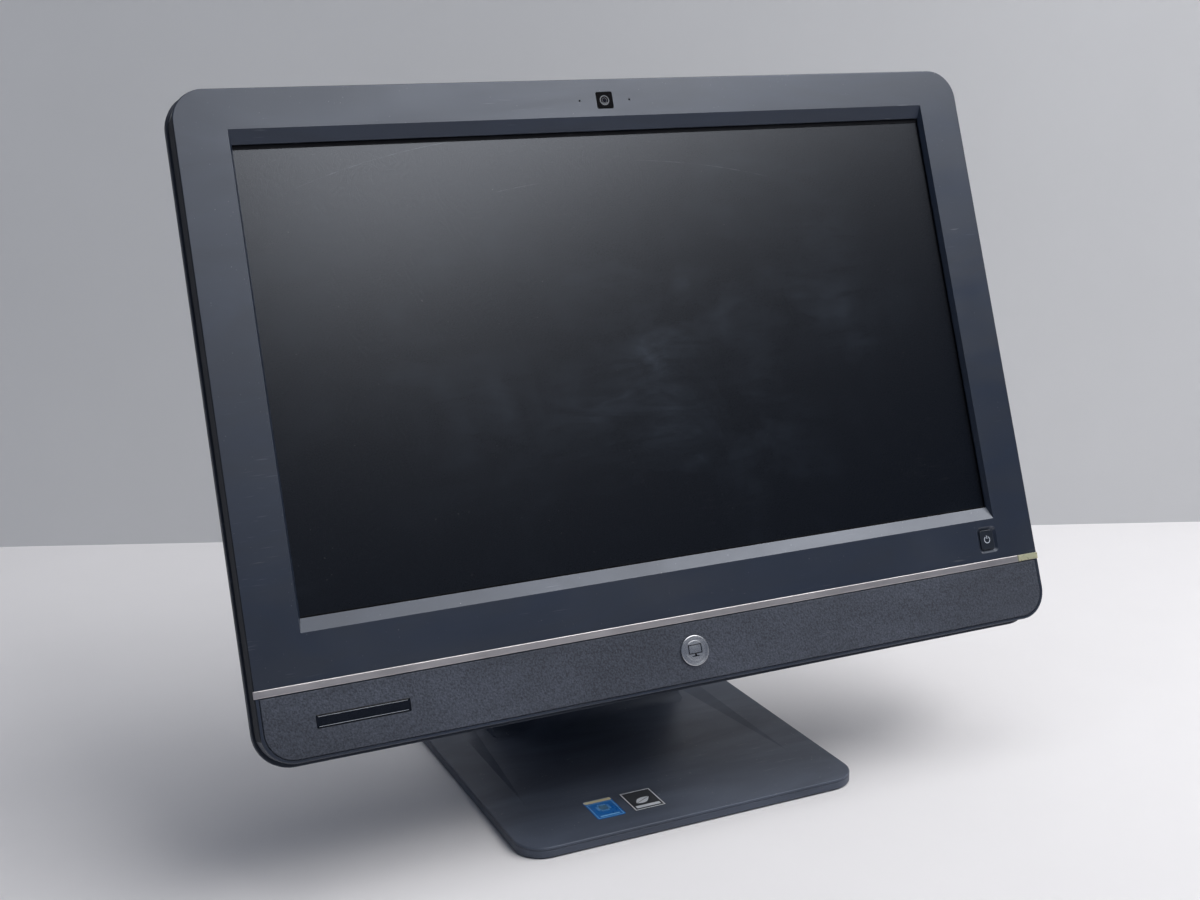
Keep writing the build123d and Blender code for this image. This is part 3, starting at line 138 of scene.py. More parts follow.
def new_group(name, inputs, outputs):
    """An empty node group with named inputs and outputs, and its two end nodes."""
    tree = bpy.data.node_groups.new(name, "ShaderNodeTree")
    for label, (kind, default) in inputs.items():
        socket = tree.interface.new_socket(label, in_out="INPUT", socket_type=SOCKET_KINDS[kind])
        if default is not None:
            socket.default_value = default
    for label, kind in outputs.items():
        tree.interface.new_socket(label, in_out="OUTPUT", socket_type=SOCKET_KINDS[kind])
    return tree, tree.nodes.new("NodeGroupInput").outputs, tree.nodes.new("NodeGroupOutput").inputs


def moulded_grain():
    """The fine spark texture of moulded plastic, and the faint unevenness of its tone."""
    tree, given, out = new_group("Moulded grain", {"Vector": ("vector", None), "Grain": ("value", 2600.0)},
                                 {"Height": "value", "Tone": "value"})
    fine = noise(tree, given["Vector"], given["Grain"], 2.0, 0.6)
    pits = cells(tree, given["Vector"], given["Grain"], feature="SMOOTH_F1")
    height = maths(tree, "MULTIPLY_ADD", pits, 0.6, times(tree, fine, 0.7))
    wire(tree, out["Height"], height)
    wire(tree, out["Tone"], noise(tree, given["Vector"], 11.0, 4.0, 0.6, 0.4))
    return tree


def strongest(tree, masks):
    most = masks[0]
    for mask in masks[1:]:
        most = maths(tree, "MAXIMUM", most, mask)
    return most


def handling_marks():
    """Short hairline scratches and soft wipe marks, each as a mask."""
    tree, given, out = new_group("Handling marks", {"Vector": ("vector", None), "Scratches": ("value", 1.0)},
                                 {"Scratch": "value", "Wipe": "value"})
    lines = []
    for turn in (0.5, 1.4, 2.3, 2.9):
        tilt = (0.3 * turn, turn, 0.7 * turn)
        run = stretched(tree, given["Vector"], (55.0, 900.0, 900.0), tilt, (turn, 0, turn))
        lines.append(remap(tree, noise(tree, run, 1.0, 1.0, 0.5, 0.3), 0.72, 0.80))
    patches = remap(tree, noise(tree, given["Vector"], 18.0, 2.0), 0.54, 0.70)
    mask = times(tree, strongest(tree, lines), patches)
    wire(tree, out["Scratch"], times(tree, mask, given["Scratches"], clamp=True))
    wiped = stretched(tree, given["Vector"], (7.0, 22.0, 26.0), (0.3, 0.5, 0.6))
    wire(tree, out["Wipe"], remap(tree, noise(tree, wiped, 1.0, 4.0, 0.55, 1.2), 0.38, 0.72))
    return tree


def settled_dust():
    """Pale specks on whatever faces up, as a mask."""
    tree, given, out = new_group("Settled dust", {"Vector": ("vector", None), "Amount": ("value", 0.5)},
                                 {"Dust": "value"})
    size = times(tree, noise(tree, given["Vector"], 60.0, 1.0), 0.2)
    speck = maths(tree, "LESS_THAN", cells(tree, given["Vector"], 420.0), size)
    patch = remap(tree, noise(tree, given["Vector"], 190.0, 1.0), 0.56, 0.66)
    facing = add_node(tree, "SeparateXYZ", {0: add_node(tree, "NewGeometry").outputs["Normal"]})
    upward = remap(tree, facing.outputs[2], 0.1, 0.9)
    mask = times(tree, times(tree, speck, patch), upward)
    wire(tree, out["Dust"], times(tree, mask, given["Amount"], clamp=True))
    return tree


def rubbed_and_highlighted_edges():
    """Where an edge is rubbed, and where a painted highlight lightens it: a mask from how far the rounded normal
    leaves the flat one.
    """
    tree, given, out = new_group("Rubbed edges and painted highlight", {"Vector": ("vector", None), "Width": ("value", 0.0008)},
                                 {"Edge": "value"})
    soft = add_node(tree, "Bevel", {"Radius": given["Width"]}, samples=4)
    flat = add_node(tree, "NewGeometry").outputs["Normal"]
    edge_wear_and_highlight = remap(tree, dot(tree, soft.outputs[0], flat), 0.99, 0.80)
    broken = remap(tree, noise(tree, given["Vector"], 160.0, 3.0), 0.35, 0.65, 0.25, 1.0)
    wire(tree, out["Edge"], times(tree, edge_wear_and_highlight, broken, clamp=True))
    return tree


GRAIN, MARKS, DUST, EDGES = moulded_grain(), handling_marks(), settled_dust(), rubbed_and_highlighted_edges()


def use_group(tree, group, inputs):
    made = tree.nodes.new("ShaderNodeGroup")
    made.node_tree = group
    for name, value in inputs.items():
        wire(tree, made.inputs[name], value)
    return made.outputs


class Finish:
    """A new material: its node tree, its Principled shader and its object coordinates."""

    def __init__(self, name, **plain):
        self.material = bpy.data.materials.new(name)
        self.material.use_nodes = True
        self.tree = self.material.node_tree
        self.shader = self.tree.nodes["Principled BSDF"]
        self.where = add_node(self.tree, "TexCoord").outputs["Object"]
        self.skin = None
        for label, value in plain.items():
            self.set(label.replace("_", " "), value)

    def set(self, label, value):
        wire(self.tree, self.shader.inputs[label], value)

    def tint(self, share, colour):
        """The base colour so far, with this much of another colour laid over it."""
        self.skin = blend_colour(self.tree, share, self.skin, colour)

    def bump(self, height, distance, strength=1.0):
        made = add_node(self.tree, "Bump", {"Height": height, "Distance": distance, "Strength": strength})
        self.set("Normal", made.outputs[0])


def shade(colour, factor):
    return (*(min(c * factor, 1.0) for c in colour[:3]), 1.0)


COOL = (0.85, 0.90, 1.0, 1.0)           # the tint of highlights on dark plastic
# colour of bare hairlines, and of rubbed edges, where it is also a painted highlight
BARE_SCRATCH, BARE_EDGE_AND_HIGHLIGHT = (0.30, 0.31, 0.33, 1.0), (0.35, 0.36, 0.38, 1.0)
DUST_GREY = (0.50, 0.49, 0.47, 1.0)
DULL_ROUGHNESS = 0.95


def moulded_plastic(name, colour, roughness, grain=2600.0, depth=0.03 * MM, dust=0.0, scratches=0.5,
                    edge=0.5, mottle=0.12, gloss=0.5, speckle=0.0, painted_shade_beyond=None):
    """Moulded plastic: fine grain, uneven tone, wipe marks, hairlines, dust, and rubbed edges with a painted
    highlight.

    Speckle is the share of a coarse dark fleck, and beyond the given distance across the surface is rough and its
    colour is a much darker painted shade.
    """
    made = Finish(name, Specular_IOR_Level=gloss, Specular_Tint=COOL)
    tree = made.tree
    texture = use_group(tree, GRAIN, {"Vector": made.where, "Grain": grain})
    marks = use_group(tree, MARKS, {"Vector": made.where, "Scratches": scratches})
    edge_wear_and_highlight = use_group(tree, EDGES, {"Vector": made.where})
    tone = remap(tree, texture["Tone"], 0.3, 0.7)
    made.skin = blend_colour(tree, tone, shade(colour, 1 - mottle), shade(colour, 1 + mottle))
    made.tint(times(tree, texture["Height"], 0.25), shade(colour, 1.5))
    made.tint(times(tree, marks["Wipe"], 0.6 * dust), shade(colour, 3.0))
    rough = maths(tree, "MULTIPLY_ADD", marks["Wipe"], -0.07, roughness + 0.03)
    rough = maths(tree, "MULTIPLY_ADD", tone, 0.05, rough)
    if speckle:
        fleck = remap(tree, noise(tree, made.where, 850.0, 3.0, 0.7), 0.38, 0.62)
        made.tint(times(tree, fleck, speckle), shade(colour, 0.1))
        rough = maths(tree, "MULTIPLY_ADD", fleck, 0.4 * speckle, rough)
    made.tint(times(tree, marks["Scratch"], 0.35), BARE_SCRATCH)
    # edges lightened: partly wear, partly a painted highlight along every rounded edge
    made.tint(times(tree, edge_wear_and_highlight["Edge"], 0.16 * edge), BARE_EDGE_AND_HIGHLIGHT)
    if dust:
        powder = use_group(tree, DUST, {"Vector": made.where, "Amount": dust})
        made.tint(powder["Dust"], DUST_GREY)
    rough = maths(tree, "MULTIPLY_ADD", edge_wear_and_highlight["Edge"], -0.12 * edge, rough, clamp=True)
    # painted shade: beyond this distance across, the side walls take a much darker colour and full roughness so
    # that they look unlit
    if painted_shade_beyond:
        across = maths(tree, "ABSOLUTE", add_node(tree, "SeparateXYZ", {0: made.where}).outputs[0])
        side = maths(tree, "GREATER_THAN", across, painted_shade_beyond)
        made.tint(side, shade(colour, 0.15))
        rough = maths(tree, "MAXIMUM", rough, times(tree, side, DULL_ROUGHNESS))
    made.set("Base Color", made.skin)
    made.set("Roughness", rough)
    made.bump(maths(tree, "MULTIPLY_ADD", marks["Scratch"], -0.8, texture["Height"]), depth)
    return made.material


def brushed_metal(name, colour, roughness, direction=(6.0, 900.0, 900.0), depth=0.012 * MM, tarnish=0.15):
    """Metal with fine lines along one direction, cloudy tarnish, and brighter edges, partly rubbed and partly a
    painted highlight.
    """
    made = Finish(name, Metallic=1.0)
    tree = made.tree
    lines = noise(tree, stretched(tree, made.where, direction), 3.0, 3.0, 0.7)
    clouds = remap(tree, noise(tree, made.where, 35.0, 4.0, 0.6), 0.35, 0.7)
    edge_wear_and_highlight = use_group(tree, EDGES, {"Vector": made.where})
    made.skin = blend_colour(tree, clouds, shade(colour, 1 - tarnish), shade(colour, 1 + tarnish / 2))
    made.tint(times(tree, lines, 0.25), shade(colour, 0.65))
    # brighter edges: partly rubbed metal, partly a painted highlight
    made.tint(times(tree, edge_wear_and_highlight["Edge"], 0.4), shade(colour, 1.35))
    made.set("Base Color", made.skin)
    made.set("Roughness", maths(tree, "MULTIPLY_ADD", lines, 0.16, roughness - 0.06))
    made.bump(lines, depth)
    return made.material


def turned_metal(name, colour, roughness, centre, depth=0.01 * MM):
    """Metal with fine rings about a point on the head's face."""
    made = Finish(name, Metallic=1.0)
    tree = made.tree
    reach = length(tree, stretched(tree, made.where, shift=-centre))
    wobble = maths(tree, "MULTIPLY_ADD", noise(tree, made.where, 500.0, 2.0), 0.12 * MM, reach)
    rings = maths(tree, "SINE", times(tree, wobble, 26000.0))
    edge_wear_and_highlight = use_group(tree, EDGES, {"Vector": made.where, "Width": 0.4 * MM})
    made.skin = blend_colour(tree, remap(tree, rings, -1.0, 1.0), shade(colour, 0.9), shade(colour, 1.06))
    # brighter edges: partly rubbed metal, partly a painted highlight
    made.tint(times(tree, edge_wear_and_highlight["Edge"], 0.5), shade(colour, 1.3))
    made.set("Base Color", made.skin)
    made.set("Roughness", remap(tree, rings, -1.0, 1.0, roughness - 0.05, roughness + 0.06))
    made.bump(rings, depth, 0.6)
    return made.material


def circuit_board(name):
    """Solder mask with etched tracks, vias and pale printed outlines."""
    made = Finish(name, Coat_Weight=0.3, Coat_Roughness=0.2, Roughness=0.45)
    tree = made.tree
    grid = {"Vector": made.where, "Scale": 260.0, "Randomness": 0.7}
    squares = add_node(tree, "TexVoronoi", grid, distance="CHEBYCHEV").outputs[0]
    tracks = remap(tree, maths(tree, "FRACT", times(tree, squares, 5.0)), 0.42, 0.5)
    via = maths(tree, "LESS_THAN", cells(tree, made.where, 330.0), 0.16)
    mask = blend_colour(tree, tracks, (0.012, 0.055, 0.03, 1.0), (0.02, 0.11, 0.055, 1.0))
    made.set("Base Color", blend_colour(tree, via, mask, (0.55, 0.5, 0.35, 1.0)))
    made.bump(tracks, 0.03 * MM)
    return made.material


# across, up, length and slope of each long hairline on the screen, in mm and degrees
SCREEN_HAIRLINES = [(-139, 117, 108, 13), (-62, 96, 30, 8), (60, 104, 95, -9)]
SCREEN_DEPTH = 5                        # the glass lies this far behind the bezel's face, in mm
HAIRLINE_BOW = 1.2
FILM_BLACK, FILM_SMEAR = (0.0006, 0.0010, 0.0022, 1.0), (0.030, 0.042, 0.060, 1.0)


def wiped_haze(made, centre):
    """Smears left by wiping: two crossing wisps, strongest in the middle, broken up by finer strokes."""
    tree = made.tree
    local = stretched(tree, made.where, shift=-centre)
    middle = remap(tree, length(tree, stretched(tree, local, (4.2, 4.0, 7.0))), 1.0, 0.1)
    wisps = noise(tree, stretched(tree, local, (9.0, 9.0, 16.0), (0, 0.55, 0)), 1.0, 6.0, 0.58, 1.1)
    crossing = stretched(tree, local, (14.0, 8.0, 9.0), (0, -0.7, 0), (3, 1, 2))
    cross = noise(tree, crossing, 1.0, 5.0, 0.55, 0.8)
    haze = times(tree, remap(tree, wisps, 0.42, 0.75), remap(tree, cross, 0.35, 0.7))
    haze = times(tree, haze, maths(tree, "MULTIPLY_ADD", middle, 1.0, 0.12), clamp=True)
    strokes = noise(tree, stretched(tree, local, (22.0, 22.0, 95.0), (0, 0.5, 0)), 1.0, 5.0, 0.6, 1.4)
    return times(tree, haze, remap(tree, strokes, 0.36, 0.62, 0.25, 1.0))


def long_hairlines(made):
    """A few long, slightly bowed scratches at chosen places."""
    tree = made.tree
    lines = []
    for x, z, long, slope in SCREEN_HAIRLINES:
        spot = HEAD @ (Vector((x, SCREEN_DEPTH, z)) * MM)
        run = ACROSS * cos(radians(slope)) + UP * sin(radians(slope))
        flat = stretched(tree, made.where, shift=-spot)
        along = dot(tree, flat, run)
        bow = times(tree, times(tree, along, along), HAIRLINE_BOW)
        aside = maths(tree, "ADD", dot(tree, flat, run.cross(INTO)), bow)
        thin = remap(tree, maths(tree, "ABSOLUTE", aside), 0.28 * MM, 0.08 * MM)
        short = remap(tree, maths(tree, "ABSOLUTE", along), 0.5 * long * MM, 0.35 * long * MM)
        lines.append(times(tree, thin, short))
    broken = remap(tree, noise(tree, made.where, 130.0, 2.0), 0.4, 0.6, 0.15, 1.0)
    return times(tree, strongest(tree, lines), broken)


def screen_film(name, centre):
    """Anti-glare film: fine sparkle, smears where it was wiped, dust and hairlines."""
    made = Finish(name, Specular_IOR_Level=0.60, Specular_Tint=COOL)
    tree = made.tree
    haze = wiped_haze(made, centre)
    sparkle = noise(tree, made.where, 3800.0, 1.0)
    marks = use_group(tree, MARKS, {"Vector": made.where, "Scratches": 0.5})
    specks = maths(tree, "LESS_THAN", cells(tree, made.where, 160.0), 0.035)
    specks = times(tree, specks, remap(tree, noise(tree, made.where, 30.0, 1.0), 0.5, 0.6))
    made.skin = blend_colour(tree, times(tree, haze, 0.85), FILM_BLACK, FILM_SMEAR)
    made.tint(times(tree, long_hairlines(made), 0.32), (0.14, 0.15, 0.17, 1.0))
    made.tint(times(tree, marks["Scratch"], 0.12), (0.2, 0.2, 0.21, 1.0))
    made.tint(times(tree, specks, 0.5), (0.3, 0.3, 0.3, 1.0))
    made.set("Base Color", made.skin)
    rough = maths(tree, "MULTIPLY_ADD", haze, 0.08, 0.25)
    made.set("Roughness", maths(tree, "MULTIPLY_ADD", sparkle, 0.06, rough))
    made.bump(sparkle, 0.004 * MM)
    return made.material


def clear_gloss(name, colour, roughness=0.08, coat=0.6, gloss=0.5):
    """Polished plastic with faint waviness and fingerprints."""
    made = Finish(name, Coat_Weight=coat, Coat_Roughness=0.05, Specular_IOR_Level=gloss)
    tree = made.tree
    prints = noise(tree, made.where, 220.0, 4.0, 0.6, 0.6)
    greasy = remap(tree, prints, 0.4, 0.7)
    made.set("Base Color", blend_colour(tree, greasy, shade(colour, 0.92), shade(colour, 1.12)))
    made.set("Roughness", remap(tree, prints, 0.3, 0.8, roughness, roughness + 0.12))
    made.bump(prints, 0.01 * MM, 0.5)
    return made.material


def frosted_lens(name):
    """Translucent light pipe, cloudy and slightly yellow."""
    made = Finish(name, Transmission_Weight=0.25, IOR=1.45, Subsurface_Weight=0.2)
    tree = made.tree
    cloud = noise(tree, made.where, 700.0, 3.0)
    made.set("Base Color", blend_colour(tree, cloud, (0.48, 0.42, 0.26, 1.0), (0.62, 0.55, 0.38, 1.0)))
    made.set("Roughness", remap(tree, cloud, 0.3, 0.7, 0.25, 0.4))
    made.bump(cloud, 0.03 * MM)
    return made.material


def printed_film(name, colour, second, split=0.5, roughness=0.3):
    """A printed label under clear film, with a faint tone change and a little lift in its surface."""
    made = Finish(name, Coat_Weight=0.5, Coat_Roughness=0.15)
    tree = made.tree
    cloud = noise(tree, made.where, 90.0, 3.0, 0.6)
    share = remap(tree, cloud, split - 0.25, split + 0.25)
    made.set("Base Color", blend_colour(tree, share, (*colour, 1), (*second, 1)))
    made.set("Roughness", remap(tree, cloud, 0.3, 0.7, roughness - 0.05, roughness + 0.08))
    made.bump(noise(tree, made.where, 400.0, 2.0), 0.02 * MM)
    return made.material


def rubber(name):
    made = Finish(name, Specular_IOR_Level=0.3)
    tree = made.tree
    skin = noise(tree, made.where, 1500.0, 3.0, 0.7)
    wear = remap(tree, noise(tree, made.where, 60.0, 3.0), 0.35, 0.75)
    made.set("Base Color", blend_colour(tree, wear, (0.018, 0.018, 0.019, 1), (0.045, 0.044, 0.042, 1)))
    made.set("Roughness", remap(tree, skin, 0.3, 0.7, 0.75, 0.92))
    made.bump(skin, 0.06 * MM)
    return made.material


BADGE_MID, BADGE_LOW, _ = head_spot("round_badge")

# the bezel's side walls lie beyond this distance across and take a painted shade
BEZEL_SIDE = head_spot("front_bezel")[2].x * MM - 0.0005

FINISHES = {
    "bezel_plastic": moulded_plastic("Bezel plastic", (0.006, 0.010, 0.020), 0.37, grain=3000,
        depth=0.022 * MM, dust=0.6, scratches=0.8, edge=0.6, gloss=0.85, painted_shade_beyond=BEZEL_SIDE),
    "button_plastic": moulded_plastic("Button plastic", (0.010, 0.013, 0.019), 0.36, grain=3200,
        depth=0.015 * MM, dust=0.0, scratches=0.3, edge=0.9),
    "strip_metal": brushed_metal("Strip metal", (0.60, 0.565, 0.565), 0.38),
    "light_lens": frosted_lens("Light lens"),
    "grille_plastic": moulded_plastic("Chin plastic", (0.046, 0.052, 0.069), 0.52, grain=900,
        depth=0.3 * MM, dust=0.3, scratches=0.3, edge=0.4, mottle=0.3, speckle=0.55),
    "badge_metal": turned_metal("Badge metal", (0.60, 0.61, 0.63), 0.30, centre=HEAD @ (BADGE_MID * MM)),
    "nameplate_gloss": clear_gloss("Nameplate gloss", (0.008, 0.009, 0.012)),
    "window_gloss": clear_gloss("Window gloss", (0.002, 0.002, 0.003), 0.22, coat=0.0, gloss=0.02),
    "screen_film": screen_film("Screen film", HEAD @ Vector((-20 * MM, 5 * MM, 5 * MM))),
    "black_steel": moulded_plastic("Black paint", (0.012, 0.012, 0.014), 0.42, grain=1800,
        depth=0.02 * MM, dust=0.1, scratches=0.6, edge=1.0),
    "backlight_plastic": moulded_plastic("White moulding", (0.62, 0.62, 0.60), 0.5, grain=1500,
        depth=0.02 * MM, dust=0.0, scratches=0.1, edge=0.2),
    # black plastic, made near black and dull as painted shade for the groove between bezel and rear cover where it
    # shows
    "frame_plastic": moulded_plastic("Frame plastic, painted groove shade", (0.002, 0.002, 0.003), 0.8, grain=2400,
        depth=0.03 * MM, dust=0.0, scratches=0.1, edge=0.0, gloss=0.1),
    "plated_steel": brushed_metal("Plated steel", (0.55, 0.56, 0.58), 0.38,
        direction=(500.0, 12.0, 500.0)),
    "bright_steel": brushed_metal("Bright steel", (0.62, 0.62, 0.63), 0.25,
        direction=(900.0, 12.0, 900.0)),
    "circuit_board": circuit_board("Circuit board"),
    "copper": brushed_metal("Copper", (0.74, 0.38, 0.24), 0.28),
    "fin_aluminium": brushed_metal("Fin aluminium", (0.78, 0.79, 0.80), 0.30,
        direction=(900.0, 900.0, 10.0)),
    "fan_plastic": moulded_plastic("Fan plastic", (0.014, 0.014, 0.016), 0.45, grain=2000,
        depth=0.02 * MM, dust=0.0, scratches=0.2, edge=0.6),
    "drive_alloy": brushed_metal("Drive alloy", (0.46, 0.47, 0.49), 0.42, direction=(60.0, 60.0, 60.0),
        depth=0.04 * MM),
    "speaker_plastic": moulded_plastic("Speaker plastic", (0.014, 0.014, 0.016), 0.55, grain=2000,
        depth=0.03 * MM),
    "port_steel": brushed_metal("Nickel plate", (0.64, 0.63, 0.60), 0.24, direction=(40.0, 700.0, 700.0)),
    "jack_plastic": moulded_plastic("Jack plastic", (0.012, 0.012, 0.014), 0.45, grain=2000,
        depth=0.02 * MM),
    "tray_plastic": moulded_plastic("Tray plastic", (0.016, 0.017, 0.019), 0.44, grain=2600,
        depth=0.03 * MM, dust=0.0, scratches=0.6, edge=0.8),
    "spindle_plastic": moulded_plastic("Spindle plastic", (0.10, 0.10, 0.11), 0.35, grain=2600,
        depth=0.01 * MM, dust=0.0, scratches=0.3, edge=0.8),
    "rear_plastic": moulded_plastic("Rear plastic", (0.018, 0.022, 0.032), 0.54, grain=1700,
        depth=0.05 * MM, dust=0.25, scratches=0.5, edge=0.7, gloss=0.4),
    "stand_plastic": moulded_plastic("Stand plastic", (0.046, 0.055, 0.076), 0.43, grain=2600,
        depth=0.03 * MM, dust=0.5, scratches=0.9, edge=0.7),
    "base_steel": moulded_plastic("Powder coat", (0.016, 0.016, 0.018), 0.6, grain=1300, depth=0.06 * MM,
        dust=0.0, scratches=0.7, edge=1.0),
    "screw_steel": brushed_metal("Black oxide", (0.10, 0.10, 0.11), 0.34,
        direction=(300.0, 300.0, 300.0)),
    "soft_rubber": rubber("Soft rubber"),
    "blue_label": printed_film("Blue label", (0.006, 0.10, 0.36), (0.012, 0.17, 0.50)),
    "silver_label": printed_film("Dark label", (0.020, 0.021, 0.025), (0.035, 0.037, 0.042), split=0.5,
        roughness=0.4),
}
SHADOW_BLACK = moulded_plastic("Unlit frame", (0.002, 0.002, 0.003), 0.8, grain=2400, depth=0.02 * MM,
    gloss=0.12)
LABEL_WHITE = printed_film("Label print white", (0.55, 0.58, 0.62), (0.68, 0.70, 0.73))
LABEL_PALE_BLUE = printed_film("Label print pale blue", (0.16, 0.42, 0.72), (0.25, 0.52, 0.80))
LABEL_GOLD = printed_film("Label print gold", (0.52, 0.46, 0.26), (0.70, 0.65, 0.44))
DARK_ENAMEL = clear_gloss("Dark enamel", (0.004, 0.004, 0.006), 0.2, coat=0.3)
SYMBOL_INK = printed_film("Symbol inlay", (0.42, 0.46, 0.52), (0.5, 0.54, 0.6))
LENS_GLASS = clear_gloss("Lens glass", (0.004, 0.004, 0.010), 0.22, coat=0.0, gloss=0.05)
GOLD_CONTACT = brushed_metal("Gold contact", (0.83, 0.62, 0.28), 0.25)
WIRE_MESH = moulded_plastic("Vent mesh", (0.02, 0.02, 0.022), 0.6, grain=2000, depth=0.02 * MM)
BLUE_INSULATOR = moulded_plastic("Blue insulator", (0.02, 0.06, 0.32), 0.45, grain=2000, depth=0.02 * MM)
JACK_GREEN = moulded_plastic("Green jack ring", (0.07, 0.36, 0.10), 0.42, grain=2000, depth=0.02 * MM)
JACK_PINK = moulded_plastic("Pink jack ring", (0.58, 0.16, 0.26), 0.42, grain=2000, depth=0.02 * MM)

for subpart in frame["record"]["subparts"]:
    shown = frame["nodes"][subpart["node"]]
    shown.data.materials.clear()
    shown.data.materials.append(FINISHES[subpart["material_slot"]])

# what shows of these two isn't their slot's own finish: an unlit edge, and the sockets' metal shells
frame["nodes"]["lcd_frame"].data.materials[0] = SHADOW_BLACK
frame["nodes"]["side_ports"].data.materials[0] = FINISHES["port_steel"]


# ---------------------------------------------------------------- shapes, in mm, drawn with bmesh
NEAR = 1e-6


def new_shape():
    return bmesh.new()


def bevel(bm, edges, width, segments):
    return bmesh.ops.bevel(bm, geom=edges, offset=width, offset_type="OFFSET", segments=segments,
                           affect="EDGES", profile=0.5, material=-1)["verts"]


def edges_of(verts):
    return {e for v in verts for e in v.link_edges}


def add_block(bm, low, high, corner=0.0, along=1, edge=0.0, segments=5):
    """A box with its corners rounded about one axis, and then its front rim eased."""
    low, high = Vector(low), Vector(high)
    size = high - low
    place = Matrix.Translation((low + high) / 2) @ Matrix.Diagonal((*size, 1.0))
    made = bmesh.ops.create_cube(bm, size=1.0, matrix=place)["verts"]
    if corner:
        uprights = [e for e in edges_of(made)
                    if abs((e.verts[0].co - e.verts[1].co)[along]) > 0.5 * size[along]]
        made = bevel(bm, uprights, corner, segments)
    if edge:
        rim = [e for e in edges_of(made) if all(abs(v.co[along] - low[along]) < NEAR for v in e.verts)]
        bevel(bm, rim, edge, 2)


def add_frame(bm, low, high, line, lap, base, top):
    """A flat rectangular outline lying on the foot; its upright bars run a little into the level ones."""
    (x0, y0), (x1, y1) = low, high
    for y in (y0, y1 - line):
        add_block(bm, (x0, y, base), (x1, y + line, top), 0.1, 2)
    for x in (x0, x1 - line):
        add_block(bm, (x, y0 + line - lap, base), (x + line, y1 - line + lap, top), 0.1, 2)


def add_prism(bm, corners, vector):
    """A face and what it sweeps along a vector."""
    face = bm.faces.new([bm.verts.new(c) for c in corners])
    lifted = bmesh.ops.extrude_face_region(bm, geom=[face])["geom"]
    bmesh.ops.translate(bm, verts=[g for g in lifted if isinstance(g, bmesh.types.BMVert)], vec=vector)


def add_ring(bm, centre, inner, outer, y0, y1, start=0.0, sweep=360.0, steps=40):
    """A flat ring about an axis along Y, whole or as an arc with closed ends."""
    centre = Vector(centre)
    corners = [(inner, y0), (outer, y0), (outer, y1), (inner, y1)]
    turn = Matrix.Rotation(radians(start), 3, "Y")
    verts = [bm.verts.new(centre + turn @ Vector((r, y, 0))) for r, y in corners]
    edges = [bm.edges.new((verts[i], verts[(i + 1) % 4])) for i in range(4)]
    whole = abs(sweep) >= 360.0
    geom = verts + edges + ([] if whole else [bm.faces.new(verts)])
    bmesh.ops.spin(bm, geom=geom, cent=centre, axis=(0, 1, 0), angle=radians(sweep), steps=steps,
                   use_merge=whole)


def add_dome(bm, centre, radius, rise, rings=6, steps=32):
    """A shallow dome that looks along -Y."""
    centre = Vector(centre)
    place = Matrix.Translation(centre) @ Matrix.Rotation(pi / 2, 4, "X")
    made = bmesh.ops.create_circle(bm, cap_ends=True, cap_tris=True, segments=steps, radius=radius,
                                   matrix=place)["verts"]
    spokes = [e for e in edges_of(made) if any((v.co - centre).length < NEAR for v in e.verts)]
    bmesh.ops.subdivide_edges(bm, edges=spokes, cuts=rings)
    for v in bm.verts:
        share = (v.co - centre).length / radius
        if share <= 1.0001:
            v.co.y -= rise * (1 - share * share)


def finish_piece(name, bm, body, material, place=STAND):
    """The shape, in mm, becomes a piece in the row frame that rides on a body."""
    bmesh.ops.remove_doubles(bm, verts=bm.verts, dist=1e-5)
    bmesh.ops.recalc_face_normals(bm, faces=bm.faces)
    bm.transform(place @ Matrix.Scale(MM, 4))
    mesh = bpy.data.meshes.new(name)
    bm.to_mesh(mesh)
    bm.free()
    mesh.shade_smooth()
    mesh.set_sharp_from_angle(angle=radians(35))
    mesh.materials.append(material)
    made = bpy.data.objects.new(name, mesh)
    bpy.context.scene.collection.objects.link(made)
    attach(made, body)
    return made


# ---------------------------------------------------------------- details on the front
def power_symbol():
    """The stand-by mark let into the button: a ring, open at the top, with a short bar in the gap."""
    mid, low, _ = head_spot("power_button")
    x, z = mid.x, mid.z
    y0, y1 = low.y - 0.02, low.y + 0.3
    bm = new_shape()
    add_ring(bm, (x, 0, z), 1.75, 2.25, y0, y1, start=-60, sweep=300, steps=36)
    add_block(bm, (x - 0.26, y0, z + 0.5), (x + 0.26, y1, z + 2.6), 0.2)
    finish_piece("power_symbol", bm, "power_button", SYMBOL_INK, HEAD)


def badge_mark():
    """A small outline of a screen on a foot, enamelled into the badge."""
    x, z = BADGE_MID.x, BADGE_MID.z
    y0, y1 = BADGE_LOW.y - 0.03, BADGE_LOW.y + 0.75
    bm = new_shape()
    half_w, half_h, line = 4.3, 2.7, 0.55
    top, bottom = z + half_h + 0.9, z - half_h + 0.9
    add_block(bm, (x - half_w, y0, top - line), (x + half_w, y1, top), 0.1)
    add_block(bm, (x - half_w, y0, bottom), (x + half_w, y1, bottom + line), 0.1)
    for side in (-1, 1):
        inner, outer = sorted((x + side * half_w, x + side * (half_w - line)))
        add_block(bm, (inner, y0, bottom + 0.02), (outer, y1, top - 0.02), 0.1)
    add_block(bm, (x - 0.6, y0, bottom - 1.1), (x + 0.6, y1, bottom + 0.05), 0.1)
    add_block(bm, (x - 2.3, y0, bottom - 1.6), (x + 2.3, y1, bottom - 1.05), 0.2)
    finish_piece("badge_mark", bm, "head", DARK_ENAMEL, HEAD)


def nameplate_lines():
    """Two hairline rules printed along the blank nameplate."""
    _, low, high = head_spot("nameplate")
    y0, y1 = low.y - 0.015, low.y + 0.1
    bm = new_shape()
    for z in (low.z + 0.75, high.z - 0.9):
        add_block(bm, (low.x + 1.2, y0, z), (high.x - 1.2, y1, z + 0.14), 0.05)
    finish_piece("nameplate_lines", bm, "head", LABEL_WHITE, HEAD)


